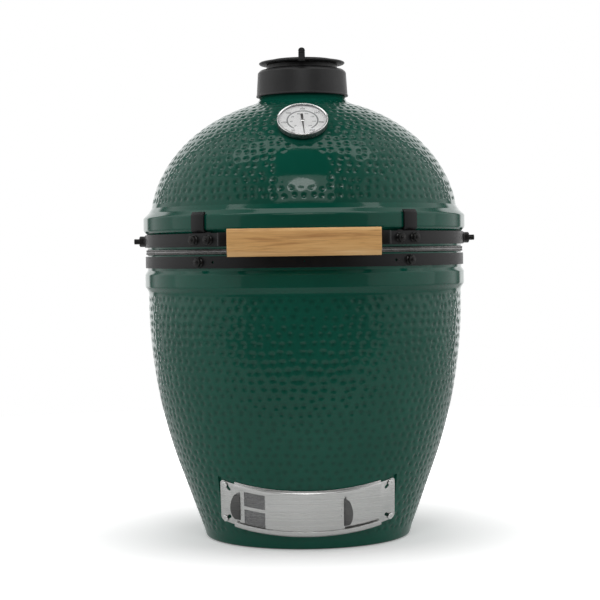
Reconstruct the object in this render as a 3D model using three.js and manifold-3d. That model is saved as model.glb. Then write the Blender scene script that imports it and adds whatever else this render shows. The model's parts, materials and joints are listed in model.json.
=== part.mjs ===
// A kamado ceramic grill: an egg-shaped base and a hinged dome of glazed ceramic, steel bands,
// a wooden handle, a swinging vent cap, a thermometer, a sliding draft door and the parts inside.
// Millimetres, +Z up, front towards -Y. The origin is the centre of the foot on the ground.
import * as THREE from "three";
import { mergeVertices } from "three/addons/utils/BufferGeometryUtils.js";
import Module from "manifold-3d";

const wasm = await Module();
wasm.setup();

// ---------------------------------------------------------------- driving dimensions
const GAP = 0.3; // clearance between pieces that touch
const ROUND = 36; // facets of the shells, bands and gaskets
const CAP_ROUND = 32; // facets of the cap
const SMALL_ROUND = 24; // facets of the thermometer and of the parts inside
const BORE_ROUND = 8; // facets of bolts and of their holes
const RIM_RADIUS = 275; // outside of the dome's rim flange, the widest ceramic
const SEAM_HEIGHT = 485.6; // where the two felt gaskets meet
const FELT = 3.9; // thickness of each gasket
const WALL = 19; // ceramic wall of the base
const STEEL = 2.5; // bands and straps

const SEAT_RADIUS = RIM_RADIUS - 6.3; // ceramic under the steel bands
const BAND_INNER = SEAT_RADIUS + GAP;
const BAND_OUTER = BAND_INNER + STEEL;
const STRAP_INNER = BAND_OUTER + 0.4; // first layer bolted over a band
const STRAP_OUTER = STRAP_INNER + STEEL;
const FOOT_INNER = STRAP_OUTER + 0.8; // second layer, the handle bracket's foot
const BRACKET = 3; // thickness of the handle brackets

const BASE = {
  footRadius: 160, coneAngle: 20, coneBottom: 5, swellRadius: 840, swellHeight: 405,
  bodyRadius: RIM_RADIUS - 8, flangeRadius: RIM_RADIUS - 2, flangeLow: 427, flangeHigh: 448.5,
  floor: 25, lip: SEAM_HEIGHT - FELT - GAP,
};
const LOWER_BAND = { low: 459.3, high: 478.6 };
const UPPER_BAND = { low: 493.8, high: 515.2 };
const DOME = {
  lip: SEAM_HEIGHT + FELT + GAP, flangeLow: 521, flangeHigh: 543.4, shoulder: 559,
  centre: 530, radius: 263, height: 216.6, wallAcross: 18, wallUp: 18,
  ellipseEnd: 85, fillet: 18, neckRadius: 72, bore: 50, top: 785,
};
const CAP = {
  bottom: 748.5, radius: 77.8, topRadius: 75.4,
  shoulder: 788.5, step: 795.4, neck: 60.5, rim: 803, plate: 73.2,
};
const CAP_PIVOT = 62; // distance of the cap's pivot behind the axis
const PLATE_LOW = CAP.rim + GAP;
const PLATE_HIGH = PLATE_LOW + 4.5;
const GAUGE_TILT = 42; // turns +Z to the thermometer's axis, 48 degrees above the horizon
const GAUGE_PLACE = [0, -180.5, 687.5];
const DRAFT_TILT = 20; // the draft door's curved tracks follow the cone of the base
const DRAFT_CENTRE = [0, 0, 133.7];
const DRAFT_RADIUS = 209.6; // ceramic seat behind the draft frame
const DRAFT_ARC = 4.5; // degrees per facet of the curved draft parts
const DRAFT = { half: 42.4, rail: 33.8, high: 41.5, ear: 37, window: 15, windowHigh: 26 }; // degrees, mm
const HINGE = { y: 306, z: 487, pin: 5, ear: 11 };
const GRIP = { length: 236, low: 477.4, high: 520.4, back: -306, front: -336 };

const RAD = Math.PI / 180;
const sin = (a) => Math.sin(a * RAD);
const cos = (a) => Math.cos(a * RAD);
const tan = (a) => Math.tan(a * RAD);

// ---------------------------------------------------------------- geometry helpers
function solidOf(geometry) {
  const bare = geometry.clone();
  bare.deleteAttribute("normal");
  bare.deleteAttribute("uv");
  const merged = mergeVertices(bare, 1e-4);
  return new wasm.Manifold(
    new wasm.Mesh({
      numProp: 3,
      vertProperties: new Float32Array(merged.attributes.position.array),
      triVerts: new Uint32Array(merged.index.array),
    }),
  );
}

function geometryOf(solid) {
  const mesh = solid.getMesh();
  const geometry = new THREE.BufferGeometry();
  geometry.setAttribute("position", new THREE.BufferAttribute(mesh.vertProperties, 3));
  geometry.setIndex(new THREE.BufferAttribute(mesh.triVerts, 1));
  geometry.computeVertexNormals();
  return geometry;
}

// The union of the first list of geometries, less every geometry of the second list.
function combine(joined, cut = []) {
  let solid = solidOf(joined[0]);
  joined.slice(1).forEach((g) => (solid = solid.add(solidOf(g))));
  cut.forEach((g) => (solid = solid.subtract(solidOf(g))));
  return geometryOf(solid);
}

// Points of an arc, centre (x, y), from one angle to another in degrees.
function arc(x, y, radius, from, to, steps) {
  return Array.from({ length: steps + 1 }, (_, i) => {
    const a = from + ((to - from) * i) / steps;
    return [x + radius * cos(a), y + radius * sin(a)];
  });
}

// A closed (radius, height) outline, counter-clockwise, turned about the Z axis.
function turned(outline, facets = ROUND) {
  const points = [...outline, outline[0]].map(([r, z]) => new THREE.Vector2(r, z));
  return new THREE.LatheGeometry(points, facets).rotateX(Math.PI / 2);
}

// A ring with a rectangular section.
const ring = (inner, outer, low, high, facets = ROUND) =>
  turned([[inner, low], [outer, low], [outer, high], [inner, high]], facets);

// A flat outline in X and Y, raised from one height to another.
function raised(outline, low, high) {
  const shape = new THREE.Shape(outline.map(([x, y]) => new THREE.Vector2(x, y)));
  const settings = { depth: high - low, bevelEnabled: false };
  return new THREE.ExtrudeGeometry(shape, settings).translate(0, 0, low);
}

// A flat outline in Y and Z, as thick as the span of X.
function sideways(outline, from, to) {
  return raised(outline, from, to).rotateY(Math.PI / 2).rotateX(Math.PI / 2);
}

// A straight round rod along +Z.
const rod = (radius, low, high, facets = 16) =>
  new THREE.CylinderGeometry(radius, radius, high - low, facets)
    .rotateX(Math.PI / 2).translate(0, 0, (low + high) / 2);

// The point at an angle from the front, positive towards +X.
const around = (radius, angle) => [radius * sin(angle), -radius * cos(angle)];

// A curved plate: part of a ring between two angles from the front.
function sector(inner, outer, from, to, low, high, step = 2.5) {
  const steps = Math.max(1, Math.round((to - from) / step));
  const at = (radius, i) => around(radius, from + ((to - from) * i) / steps);
  const outline = [];
  for (let i = 0; i <= steps; i++) outline.push(at(outer, i));
  for (let i = steps; i >= 0; i--) outline.push(at(inner, i));
  return raised(outline, low, high);
}

// Lays a geometry built along +Z so that it points outwards at an angle, a radius and a height.
function outwards(geometry, angle, radius, height) {
  return geometry.rotateX(Math.PI / 2).translate(0, -radius, height).rotateZ(angle * RAD);
}

// The outline of a strip of constant thickness whose middle follows the given points.
function strip(points, thickness) {
  const side = (sign) =>
    points.map(([x, y], i) => {
      const before = points[Math.max(i - 1, 0)];
      const after = points[Math.min(i + 1, points.length - 1)];
      const start = Math.atan2(y - before[1], x - before[0]);
      const end = Math.atan2(after[1] - y, after[0] - x);
      const first = i === 0 ? end : start;
      const last = i === points.length - 1 ? start : end;
      const bend = Math.atan2(Math.sin(last - first), Math.cos(last - first)) / 2;
      const out = first + bend + (sign * Math.PI) / 2;
      const reach = thickness / 2 / Math.cos(bend);
      return [x + reach * Math.cos(out), y + reach * Math.sin(out)];
    });
  return [...side(1), ...side(-1).reverse()];
}

// A flange nut with the rounded end of its bolt and a shank, along +Z from the seat at zero.
function flangeNut(flange, across, height, bolt, shank) {
  return combine([
    rod(flange, 0, 1.8, 12),
    rod(across / Math.sqrt(3), 1, height, 6),
    rod(bolt, -shank, height + 2.5, BORE_ROUND),
  ]);
}

// ---------------------------------------------------------------- materials
const material = (color, roughness, metalness = 0) => () =>
  new THREE.MeshStandardMaterial({ color, roughness, metalness });
const glaze = material(0x1c4a3c, 0.12);
const blackSteel = material(0x242426, 0.5, 0.4);
const stainless = material(0xc4c4c2, 0.3, 1);
const brightSteel = material(0xd8d8d6, 0.15, 1);
const felt = material(0x5c5c5a, 0.95);
const castIron = material(0x2e2e30, 0.6, 0.6);
const fireClay = material(0xcdbfa6, 0.9);
const wood = material(0xd8a868, 0.55);
const silicone = material(0x1c1c1e, 0.8);
const dialWhite = material(0xf2f2ee, 0.6);
const pointerBlack = material(0x101010, 0.5);
const clearGlass = () =>
  new THREE.MeshStandardMaterial({ color: 0xffffff, roughness: 0.05, transparent: true, opacity: 0.3 });

const grill = new THREE.Group();

function place(name, geometry, finish, parent = grill) {
  const mesh = new THREE.Mesh(geometry, finish());
  mesh.name = name;
  parent.add(mesh);
  return mesh;
}

// ---------------------------------------------------------------- base
function baseOutside() {
  const { coneAngle, swellRadius, swellHeight, bodyRadius, coneBottom } = BASE;
  const swell = arc(bodyRadius - swellRadius, swellHeight, swellRadius, -coneAngle, 0, 5);
  const coneFoot = swell[0][0] - (swell[0][1] - coneBottom) * tan(coneAngle);
  return [
    [BASE.footRadius, 0],
    [(BASE.footRadius + coneFoot) / 2 + 1.8, 1.2],
    [coneFoot, coneBottom],
    ...swell,
    [SEAT_RADIUS - 0.2, BASE.flangeLow - 7],
    [BASE.flangeRadius, BASE.flangeLow],
    [BASE.flangeRadius, BASE.flangeHigh],
    [SEAT_RADIUS, BASE.flangeHigh + 6.5],
    [SEAT_RADIUS, BASE.lip],
  ];
}

const DRAFT_SCREWS = [-1, 1].flatMap((side) => [-1, 1].map((level) => [side * 39.5, level * 31]));

// Turns a draft-door geometry from its upright frame into the grill's frame.
const tilted = (geometry) => geometry.rotateX(DRAFT_TILT * RAD).translate(...DRAFT_CENTRE);

function baseShell() {
  const outside = baseOutside();
  const inner = BASE.lip - 6;
  const body = turned([
    [0, 0],
    ...outside,
    [SEAT_RADIUS - WALL - 1, BASE.lip],
    [SEAT_RADIUS - WALL - 1, inner],
    [BASE.bodyRadius - WALL, BASE.swellHeight],
    [242, 300],
    [223, 200],
    [197, 118],
    [165, BASE.floor + 8],
    [153, BASE.floor],
    [0, BASE.floor],
  ]);
  const seatHalf = DRAFT.half + 0.7;
  const seatHigh = DRAFT.high + 1;
  const holeHalf = DRAFT.window - 1;
  const holeHigh = DRAFT.windowHigh - 1;
  const seat = tilted(
    sector(DRAFT_RADIUS, DRAFT_RADIUS + 20, -seatHalf, seatHalf, -seatHigh, seatHigh, DRAFT_ARC));
  const draftHole = tilted(
    sector(150, DRAFT_RADIUS + 5, -holeHalf, holeHalf, -holeHigh, holeHigh, holeHalf / 2));
  const screwHoles = DRAFT_SCREWS.map(([angle, level]) =>
    tilted(outwards(rod(2.8, -24, 24, 6), angle, DRAFT_RADIUS, level)));
  return combine([body], [seat, draftHole, ...screwHoles]);
}

// ---------------------------------------------------------------- dome
function domeShell() {
  const { centre, radius, height, wallAcross, wallUp, neckRadius, fillet, bore, ellipseEnd } = DOME;
  const ellipse = (across, up, from, to, steps) =>
    arc(0, 0, 1, from, to, steps).map(([x, y]) => [x * across, centre + y * up]);
  const start = Math.asin((DOME.shoulder - centre) / height) / RAD;
  const end = Math.acos(ellipseEnd / radius) / RAD;
  const filletTop = centre + height * sin(end) + fillet * 0.96;
  const inside = radius - wallAcross;
  const insideEnd = Math.acos(bore / inside) / RAD;
  const body = turned([
    [inside, DOME.lip],
    [SEAT_RADIUS, DOME.lip],
    [SEAT_RADIUS, UPPER_BAND.high + 0.2],
    [RIM_RADIUS, DOME.flangeLow],
    [RIM_RADIUS, DOME.flangeHigh],
    ...ellipse(radius, height, start, end, 8),
    ...arc(neckRadius + fillet, filletTop, fillet, 230, 180, 2),
    [neckRadius, DOME.top],
    [bore, DOME.top],
    ...ellipse(inside, height - wallUp, insideEnd, 0, 7),
  ]);
  const probeHole = rod(5, -60, 20, BORE_ROUND).rotateX(GAUGE_TILT * RAD).translate(...GAUGE_PLACE);
  return combine([body], [probeHole]);
}

// ---------------------------------------------------------------- bands, gaskets and their bolts
const STRAP_BOLTS = [33, 39]; // degrees from the front, on each side of the upper band
const LOWER_BOLT = 38.2;
const HINGE_BOLT = 7; // degrees on each side of the rear
const UPPER_MIDDLE = (UPPER_BAND.low + UPPER_BAND.high) / 2;
const LOWER_MIDDLE = (LOWER_BAND.low + LOWER_BAND.high) / 2;

function band({ low, high }, holes) {
  const middle = (low + high) / 2;
  const cuts = holes.map(([angle, radius]) =>
    outwards(rod(radius, -5, 5, BORE_ROUND), angle, (BAND_INNER + BAND_OUTER) / 2, middle));
  return combine([ring(BAND_INNER, BAND_OUTER, low, high)], cuts);
}

function addBands() {
  const both = (angle, radius) => [[angle, radius], [-angle, radius]];
  const rear = both(180 - HINGE_BOLT, 3.4);
  const front = STRAP_BOLTS.flatMap((angle) => both(angle, 3.4));
  place("lower_band", band(LOWER_BAND, [...rear, ...both(LOWER_BOLT, 3.4)]), blackSteel);
  place("upper_band", band(UPPER_BAND, [...rear, ...front, ...both(90, 5.2)]), blackSteel);
  const feltOuter = SEAT_RADIUS + 1.3;
  const feltInner = feltOuter - WALL - 1;
  place("base_gasket", ring(feltInner, feltOuter, BASE.lip + GAP, SEAM_HEIGHT - GAP / 2), felt);
  place("dome_gasket", ring(feltInner, feltOuter, SEAM_HEIGHT + GAP / 2, DOME.lip - GAP), felt);
}

// A nut and bolt through a stack of straps; the shank ends inside the band's hole.
function addBolt(name, angle, seat, height) {
  const bolt = flangeNut(8.5, 13, 7, 3, seat - BAND_INNER - 0.2);
  place(name, outwards(bolt, angle, seat, height), blackSteel);
}

function addSideStuds() {
  const sides = { left: -90, right: 90 };
  for (const [side, angle] of Object.entries(sides)) {
    const reach = 20;
    const stud = turned([[0, 0], [4.7, 0], [4.7, reach], [3.2, reach + 2.2], [0, reach + 2.8]], 10);
    place(`side_stud_${side}`, outwards(stud, angle, BAND_INNER + 0.2, UPPER_MIDDLE), blackSteel);
    const nut = combine([rod(10.5, 0, 2.6, 12), rod(16 / Math.sqrt(3), 2, 11, 6)], [rod(5.3, -1, 12, 10)]);
    place(`side_nut_${side}`, outwards(nut, angle, BAND_OUTER + GAP, UPPER_MIDDLE), blackSteel);
  }
}

// ---------------------------------------------------------------- handle and the clips over the rim
function domeClip(side) {
  const plate = sector(STRAP_INNER, STRAP_OUTER, 30.6, 41.4, UPPER_BAND.low + 0.4, UPPER_BAND.high);
  const middle = STRAP_INNER + STEEL / 2;
  const hook = strip([
    [middle, UPPER_BAND.low + 6],
    [middle, UPPER_BAND.high + 0.2],
    [RIM_RADIUS + 2.4, DOME.flangeLow],
    [RIM_RADIUS + 2.4, DOME.flangeHigh + 0.6],
    [RIM_RADIUS - 1.6, DOME.flangeHigh + 5.1],
  ], STEEL);
  const width = 26;
  const finger = sideways(hook.map(([r, z]) => [-r, z]), -width / 2, width / 2).rotateZ(37.5 * RAD);
  const gusset = sector(STRAP_INNER, STRAP_OUTER, 33, 35.2, UPPER_BAND.high - 3, UPPER_BAND.high + 1.6);
  const holes = STRAP_BOLTS.map((angle) =>
    outwards(rod(3.4, -6, 6, BORE_ROUND), angle, middle, UPPER_MIDDLE));
  const clip = combine([plate, finger, gusset], holes);
  return side < 0 ? mirrored(clip) : clip;
}

// The same piece on the other side of the grill: X reversed, faces turned back outwards.
function mirrored(geometry) {
  const flipped = geometry.scale(-1, 1, 1);
  const faces = flipped.index.array;
  for (let i = 0; i < faces.length; i += 3) [faces[i + 1], faces[i + 2]] = [faces[i + 2], faces[i + 1]];
  flipped.computeVertexNormals();
  return flipped;
}

const WEB_X = 132.5; // middle of the bracket's forward web
const SCREW_X = 108; // where the bracket is screwed to the grip

function handleBracket(side) {
  const middle = FOOT_INNER + BRACKET / 2;
  const flangeY = GRIP.back + GAP + BRACKET / 2;
  const path = [];
  for (let angle = 41.4; angle > 29.6; angle -= 2.9) path.push(around(middle, angle));
  path.push([WEB_X, -Math.sqrt(middle ** 2 - WEB_X ** 2) - 1.5]);
  path.push([WEB_X, flangeY], [98, flangeY]);
  const plate = raised(strip(path, BRACKET), UPPER_BAND.low + 0.4, UPPER_BAND.high);
  const holes = STRAP_BOLTS.map((angle) =>
    outwards(rod(3.4, -6, 6, BORE_ROUND), angle, middle, UPPER_MIDDLE));
  const screwHole = rod(2.6, -6, 6, BORE_ROUND)
    .rotateX(Math.PI / 2)
    .translate(SCREW_X, flangeY, UPPER_MIDDLE);
  const bracket = combine([plate], [...holes, screwHole]);
  return side < 0 ? mirrored(bracket) : bracket;
}

function handleGrip() {
  const { low, high, back, front, length } = GRIP;
  const section = [
    [back, low],
    [front + 9, low],
    [front + 0.8, low + 8.2],
    [front, low + 14],
    [front, high - 4],
    [front + 4, high],
    [back, high],
  ];
  const bar = sideways(section, -length / 2, length / 2);
  const holes = [-1, 1].map((side) =>
    rod(2.6, 0, 20, BORE_ROUND).rotateX(Math.PI / 2).translate(side * SCREW_X, back + 1, UPPER_MIDDLE));
  return combine([bar], holes);
}

function addHandle() {
  place("handle_grip", handleGrip(), wood);
  for (const [side, sign] of [["left", -1], ["right", 1]]) {
    place(`dome_clip_${side}`, domeClip(sign), blackSteel);
    place(`handle_bracket_${side}`, handleBracket(sign), blackSteel);
    STRAP_BOLTS.forEach((angle, i) =>
      addBolt(`handle_bolt_${side}_${i + 1}`, sign * angle, FOOT_INNER + BRACKET + 0.5, UPPER_MIDDLE));
    const head = GRIP.back + GAP + BRACKET + GAP;
    const screw = combine([rod(5, -3.2, 0, 12), rod(2.2, -1, 17, BORE_ROUND)]).rotateX(Math.PI / 2);
    place(`handle_screw_${side}`, screw.translate(sign * SCREW_X, head, UPPER_MIDDLE), blackSteel);
    addBolt(`lower_band_bolt_${side}`, sign * LOWER_BOLT, BAND_OUTER + 0.4, LOWER_MIDDLE);
  }
}

// ---------------------------------------------------------------- rear hinge
const EARS = { base: [54, 57], dome: [47, 50] }; // spans of X of the ears on each side

function hingeBracket(halfAngle, low, high, ears, bore, earOutline) {
  const plate = sector(STRAP_INNER, STRAP_OUTER, 180 - halfAngle, 180 + halfAngle, low, high);
  const holes = [-1, 1].map((side) =>
    outwards(rod(3.4, -6, 6, BORE_ROUND), 180 + side * HINGE_BOLT, STRAP_INNER + 1, (low + high) / 2));
  const leaves = [-1, 1].map((side) => {
    const [from, to] = side < 0 ? [-ears[1], -ears[0]] : ears;
    return sideways(earOutline, from, to);
  });
  const pinHole = rod(bore, -80, 80, 12).rotateY(Math.PI / 2).translate(0, HINGE.y, HINGE.z);
  return combine([plate, ...leaves], [...holes, pinHole]);
}

function addHinge() {
  const { y, z, pin, ear } = HINGE;
  const baseEar = [
    [267, LOWER_BAND.low + 0.2], [298, LOWER_BAND.low + 0.2],
    ...arc(y, z, ear, -55, 150, 8), [282, LOWER_BAND.high], [267, LOWER_BAND.high],
  ];
  const domeEar = [
    [268, UPPER_BAND.low + 0.4], [286, UPPER_BAND.low + 0.4],
    ...arc(y, z, ear, -165, 60, 9), [288, UPPER_BAND.high], [268, UPPER_BAND.high],
  ];
  const lower = [LOWER_BAND.low + 0.2, LOWER_BAND.high];
  const upper = [UPPER_BAND.low + 0.4, UPPER_BAND.high];
  place("hinge_base_bracket", hingeBracket(12, ...lower, EARS.base, pin + 0.5, baseEar), blackSteel);
  place("hinge_dome_bracket", hingeBracket(10.4, ...upper, EARS.dome, pin + 0.7, domeEar), blackSteel);
  const atPin = (geometry) => geometry.rotateY(Math.PI / 2).translate(0, y, z);
  const reach = EARS.base[1] + GAP;
  const bolt = combine([rod(pin, -reach - 1, reach + 10, 12), rod(9, -reach - 6, -reach, 6)]);
  place("hinge_pin", atPin(bolt), blackSteel);
  const nut = combine([rod(9, reach, reach + 7, 6)], [rod(pin + 0.5, 0, 90, 12)]);
  place("hinge_pin_nut", atPin(nut), blackSteel);
  for (const [side, sign] of [["left", -1], ["right", 1]]) {
    const coil = ring(7.5, 12, -18, 18, 12).translate(0, 0, sign * 25);
    place(`hinge_spring_${side}`, atPin(coil), stainless);
    const angle = 180 - sign * HINGE_BOLT;
    addBolt(`hinge_base_bolt_${side}`, angle, STRAP_OUTER + 0.5, LOWER_MIDDLE);
    addBolt(`hinge_dome_bolt_${side}`, angle, STRAP_OUTER + 0.5, UPPER_MIDDLE);
  }
}

// ---------------------------------------------------------------- cap
function capCollar() {
  const { bottom, radius, topRadius, shoulder, step, neck, rim } = CAP;
  const sleeve = DOME.neckRadius + 1.6;
  const shelf = DOME.top + 4.6;
  const body = turned([
    [sleeve, bottom], [radius + 0.8, bottom], [radius + 0.8, bottom + 3], [radius, bottom + 4],
    [topRadius, shoulder], [topRadius - 4, step - 2.2], [neck + 2, step - 0.6], [neck, step], [neck, rim],
    [DOME.bore, rim], [DOME.bore, shelf], [sleeve, shelf],
  ], CAP_ROUND);
  const lug = rod(9, step - 3.4, rim, 12).translate(0, CAP_PIVOT, 0);
  const pivotHole = rod(3.4, step + 0.8, rim + 5, BORE_ROUND).translate(0, CAP_PIVOT, 0);
  return combine([body, lug], [pivotHole]);
}

const PETALS = 6;
const PETAL = { inner: 17, outer: 45, half: 12 }; // millimetres and degrees
const WHEEL = { radius: 54, low: PLATE_HIGH + GAP, high: PLATE_HIGH + GAP + 3 };

// Wedge-shaped openings around the centre; the wheel's and the plate's line up when it turns.
function petals(first, low, high) {
  return Array.from({ length: PETALS }, (_, i) => {
    const middle = first + (i * 360) / PETALS;
    return sector(PETAL.inner, PETAL.outer, middle - PETAL.half, middle + PETAL.half, low, high, 8);
  });
}

function addCap() {
  place("cap_collar", capCollar(), blackSteel);
  const feltTop = DOME.top + 4.3;
  place("cap_gasket", ring(DOME.bore + 1, DOME.neckRadius - 1, DOME.top + GAP, feltTop, CAP_ROUND), felt);
  const chamfer = 1.5;
  const edge = CAP.plate - chamfer;
  const disc = turned([
    [0, PLATE_LOW], [edge, PLATE_LOW], [CAP.plate, PLATE_LOW + chamfer],
    [CAP.plate, PLATE_HIGH - chamfer], [edge, PLATE_HIGH], [0, PLATE_HIGH],
  ], CAP_ROUND);
  const centreHole = () => rod(3.5, PLATE_LOW - 5, WHEEL.high + 5, BORE_ROUND);
  const plateHoles = [centreHole(), centreHole().translate(0, CAP_PIVOT, 0)];
  place("cap_plate", combine([disc], [...petals(0, PLATE_LOW - 1, PLATE_HIGH + 1), ...plateHoles]), castIron);
  const pivot = combine([
    rod(3, PLATE_LOW - 5, PLATE_HIGH + 1, BORE_ROUND),
    rod(7, PLATE_HIGH + GAP, PLATE_HIGH + 5, 6),
  ]);
  place("cap_pivot_bolt", pivot.translate(0, CAP_PIVOT, 0), brightSteel);
  const wheel = rod(WHEEL.radius, WHEEL.low, WHEEL.high, SMALL_ROUND);
  const knob = rod(5, WHEEL.high - 1, WHEEL.high + 9, BORE_ROUND).translate(0, 5 - WHEEL.radius, 0);
  const cuts = [...petals(30, WHEEL.low - 1, WHEEL.high + 1), centreHole()];
  place("damper_wheel", combine([wheel, knob], cuts), castIron);
  const rivet = combine([
    rod(3, PLATE_LOW + 0.5, WHEEL.high + 1, BORE_ROUND),
    rod(6.5, WHEEL.high + GAP, WHEEL.high + 2.5, 12),
  ]);
  place("damper_rivet", rivet, brightSteel);
}

// The grip at the front edge of the cap plate: a hook over the edge with a rounded upright blade.
function addFingerTab() {
  const edge = -CAP.plate;
  const profile = [
    [edge - GAP, PLATE_LOW - 1.6], [edge - GAP, PLATE_HIGH + GAP], [edge + 8, PLATE_HIGH + GAP],
    [edge + 8, PLATE_HIGH + 3], [edge - 0.5, PLATE_HIGH + 4.5],
    ...arc(edge - 3.2, PLATE_HIGH + 13.2, 3, 0, 180, 5), [edge - 6.5, PLATE_LOW - 1.6],
  ];
  place("finger_tab", sideways(profile, -5.5, 5.5), silicone);
}

// ---------------------------------------------------------------- thermometer
const GAUGE = { radius: 41, wall: 38.8, floor: 8.5, dial: 9.4, lens: 10.8, rim: 11.5 }; // along its own axis
const NEEDLE_TURN = 85.3; // degrees from the dial's +X to the pointer, which rests near the bottom

function addGauge() {
  const gauge = new THREE.Group();
  gauge.rotation.x = GAUGE_TILT * RAD;
  gauge.position.set(...GAUGE_PLACE);
  grill.add(gauge);
  const { radius, wall, floor, dial, lens, rim } = GAUGE;
  const bore = () => rod(2.4, 0, rim, BORE_ROUND);
  const cup = turned([
    [0, 1], [37, 1], [radius - 0.5, 3.5], [radius - 0.5, rim], [wall, rim], [wall, floor], [0, floor],
  ], SMALL_ROUND);
  place("gauge_case", combine([cup], [bore()]), brightSteel, gauge);
  place("gauge_dial", combine([rod(wall - 0.4, dial - 0.6, dial, SMALL_ROUND)], [bore()]), dialWhite, gauge);
  place("gauge_lens", rod(wall - 0.4, lens, lens + 0.6, SMALL_ROUND), clearGlass, gauge);
  const ringLow = rim + GAP;
  const bezel = turned([
    [wall - 0.6, ringLow], [radius, ringLow], [radius, ringLow + 0.8], [radius - 1, ringLow + 1.6],
    [wall - 0.6, ringLow + 1],
  ], SMALL_ROUND);
  place("gauge_bezel", bezel, brightSteel, gauge);
  const outline = [[-17, -1.7], [4, -1.6], [35.6, -0.5], [35.6, 0.5], [4, 1.6], [-17, 1.7]];
  const needle = raised(outline, dial + GAP, dial + 0.8).rotateZ(-NEEDLE_TURN * RAD);
  const hub = rod(3.4, dial + GAP, lens - GAP, BORE_ROUND);
  place("gauge_pointer", combine([needle, hub]), pointerBlack, gauge);
  place("gauge_stem", rod(4, -95, 0.7, BORE_ROUND), stainless, gauge);
  place("gauge_clip", ring(4.6, 12, -23, -21.5, BORE_ROUND), stainless, gauge);
}

// ---------------------------------------------------------------- draft door
const TRACK = { plate: 210, screen: 211.5, vent: 212.8, lip: 214.3, out: 215.5 };

// A bent-out pull at one end of a sliding door.
const pull = (inner, outer, angle, reach) =>
  sector(inner, outer, angle - 0.3, angle + 0.3, -reach, reach, 1);

function draftFrame() {
  const { half, rail, high, ear, window, windowHigh } = DRAFT;
  const span = (sign, from, to) => (sign < 0 ? [-to, -from] : [from, to]);
  const plate = sector(TRACK.plate, TRACK.plate + 1.2, -half, half, -high, high, DRAFT_ARC);
  const rails = [-1, 1].flatMap((level) => [
    sector(TRACK.plate + 0.8, TRACK.out, -rail, rail, ...span(level, 33.6, high), DRAFT_ARC),
    sector(TRACK.lip, TRACK.out, -rail, rail, ...span(level, 30.5, 34), DRAFT_ARC),
  ]);
  const cuts = [sector(205, 220, -window, window, -windowHigh, windowHigh, DRAFT_ARC)];
  for (const side of [-1, 1])
    for (const level of [-1, 1]) {
      const beyondRail = span(side, rail + 0.4, half + 3);
      cuts.push(sector(205, 220, ...beyondRail, ...span(level, ear, high + 4), DRAFT_ARC));
      const corner = new THREE.BoxGeometry(14, 14, 14).rotateZ(45 * RAD);
      cuts.push(outwards(corner, side * (half + 0.8), TRACK.plate, level * (ear + 3.2)));
    }
  for (const [angle, level] of DRAFT_SCREWS) {
    const slot = combine([
      rod(2.7, -6, 6, 8),
      new THREE.BoxGeometry(10, 5.2, 12).translate(-Math.sign(angle) * 5, 0, 0),
      rod(2.7, -6, 6, 8).translate(-Math.sign(angle) * 10, 0, 0),
    ]).rotateZ(Math.sign(angle) * Math.sign(level) * 35 * RAD);
    cuts.push(outwards(slot, angle, TRACK.plate, level));
  }
  return combine([plate, ...rails], cuts);
}

const VENT_CENTRE = -1.35;
const SCREEN_CENTRE = -14.25;

function addDraftDoor() {
  const door = new THREE.Group();
  door.rotation.x = DRAFT_TILT * RAD;
  door.position.set(...DRAFT_CENTRE);
  grill.add(door);
  place("draft_frame", draftFrame(), stainless, door);
  const ventHalf = 17.5;
  const vent = combine([
    sector(TRACK.vent, TRACK.vent + 1.2, VENT_CENTRE - ventHalf, VENT_CENTRE + ventHalf, -33, 33, DRAFT_ARC),
    pull(TRACK.vent + 0.4, TRACK.vent + 13, VENT_CENTRE + ventHalf - 0.3, 25),
  ]);
  place("vent_door", vent, stainless, door);
  const screenHalf = 17.25;
  const windows = [[3, 29], [-29, -3]];
  const from = SCREEN_CENTRE - screenHalf + 2.5;
  const to = SCREEN_CENTRE + screenHalf - 2.5;
  const screen = combine(
    [
      sector(TRACK.screen, TRACK.screen + 1, SCREEN_CENTRE - screenHalf, SCREEN_CENTRE + screenHalf,
        -33, 33, DRAFT_ARC),
      pull(TRACK.screen + 0.3, TRACK.screen + 13, SCREEN_CENTRE - screenHalf + 0.3, 25),
    ],
    windows.map(([low, high]) => sector(205, 220, from, to, low, high, DRAFT_ARC)),
  );
  place("screen_door", screen, stainless, door);
  ["upper", "lower"].forEach((level, i) => {
    const [low, high] = windows[i];
    const mesh = sector(TRACK.screen + 0.2, TRACK.screen + 0.8, from + 0.1, to - 0.1,
      low + GAP, high - GAP, DRAFT_ARC);
    place(`screen_mesh_${level}`, mesh, stainless, door);
  });
  DRAFT_SCREWS.forEach(([angle, level], i) => {
    const screw = combine([rod(5.5, 0, 2.4, 12), rod(2.2, -18, 1, 6)]);
    place(`draft_screw_${i + 1}`, outwards(screw, angle, TRACK.plate + 1.6, level), brightSteel, door);
  });
}

// ---------------------------------------------------------------- inside
const FIRE = { shelf: 115, boxTop: 310, ringTop: 452 };
const GRID_LOW = FIRE.ringTop + GAP;

function fireBox() {
  const low = BASE.floor + GAP;
  const body = turned([
    [118, low], [140, low], [173, 120], [226, 285], [226, FIRE.boxTop], [208, FIRE.boxTop],
    [207, 285], [162, 130], [162, FIRE.shelf], [132, FIRE.shelf], [118, 95],
  ], SMALL_ROUND);
  const notch = raised([[-62, -200], [62, -200], [62, -60], [-62, -60]], 0, 98);
  return combine([body], [notch]);
}

function charcoalGrate() {
  const low = FIRE.shelf + GAP;
  const slots = [[6, 28, 56], [10, 72, 98], [14, 112, 138]].flatMap(([count, inner, outer]) =>
    Array.from({ length: count }, (_, i) => {
      const half = 360 / count / 4;
      const middle = (360 / count) * i;
      return sector(inner, outer, middle - half, middle + half, low - 1, low + 9, 2 * half);
    }));
  const plate = turned([[0, low], [150, low], [156, low + 3], [156, low + 8], [0, low + 8]], SMALL_ROUND);
  return combine([plate], slots);
}

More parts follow.
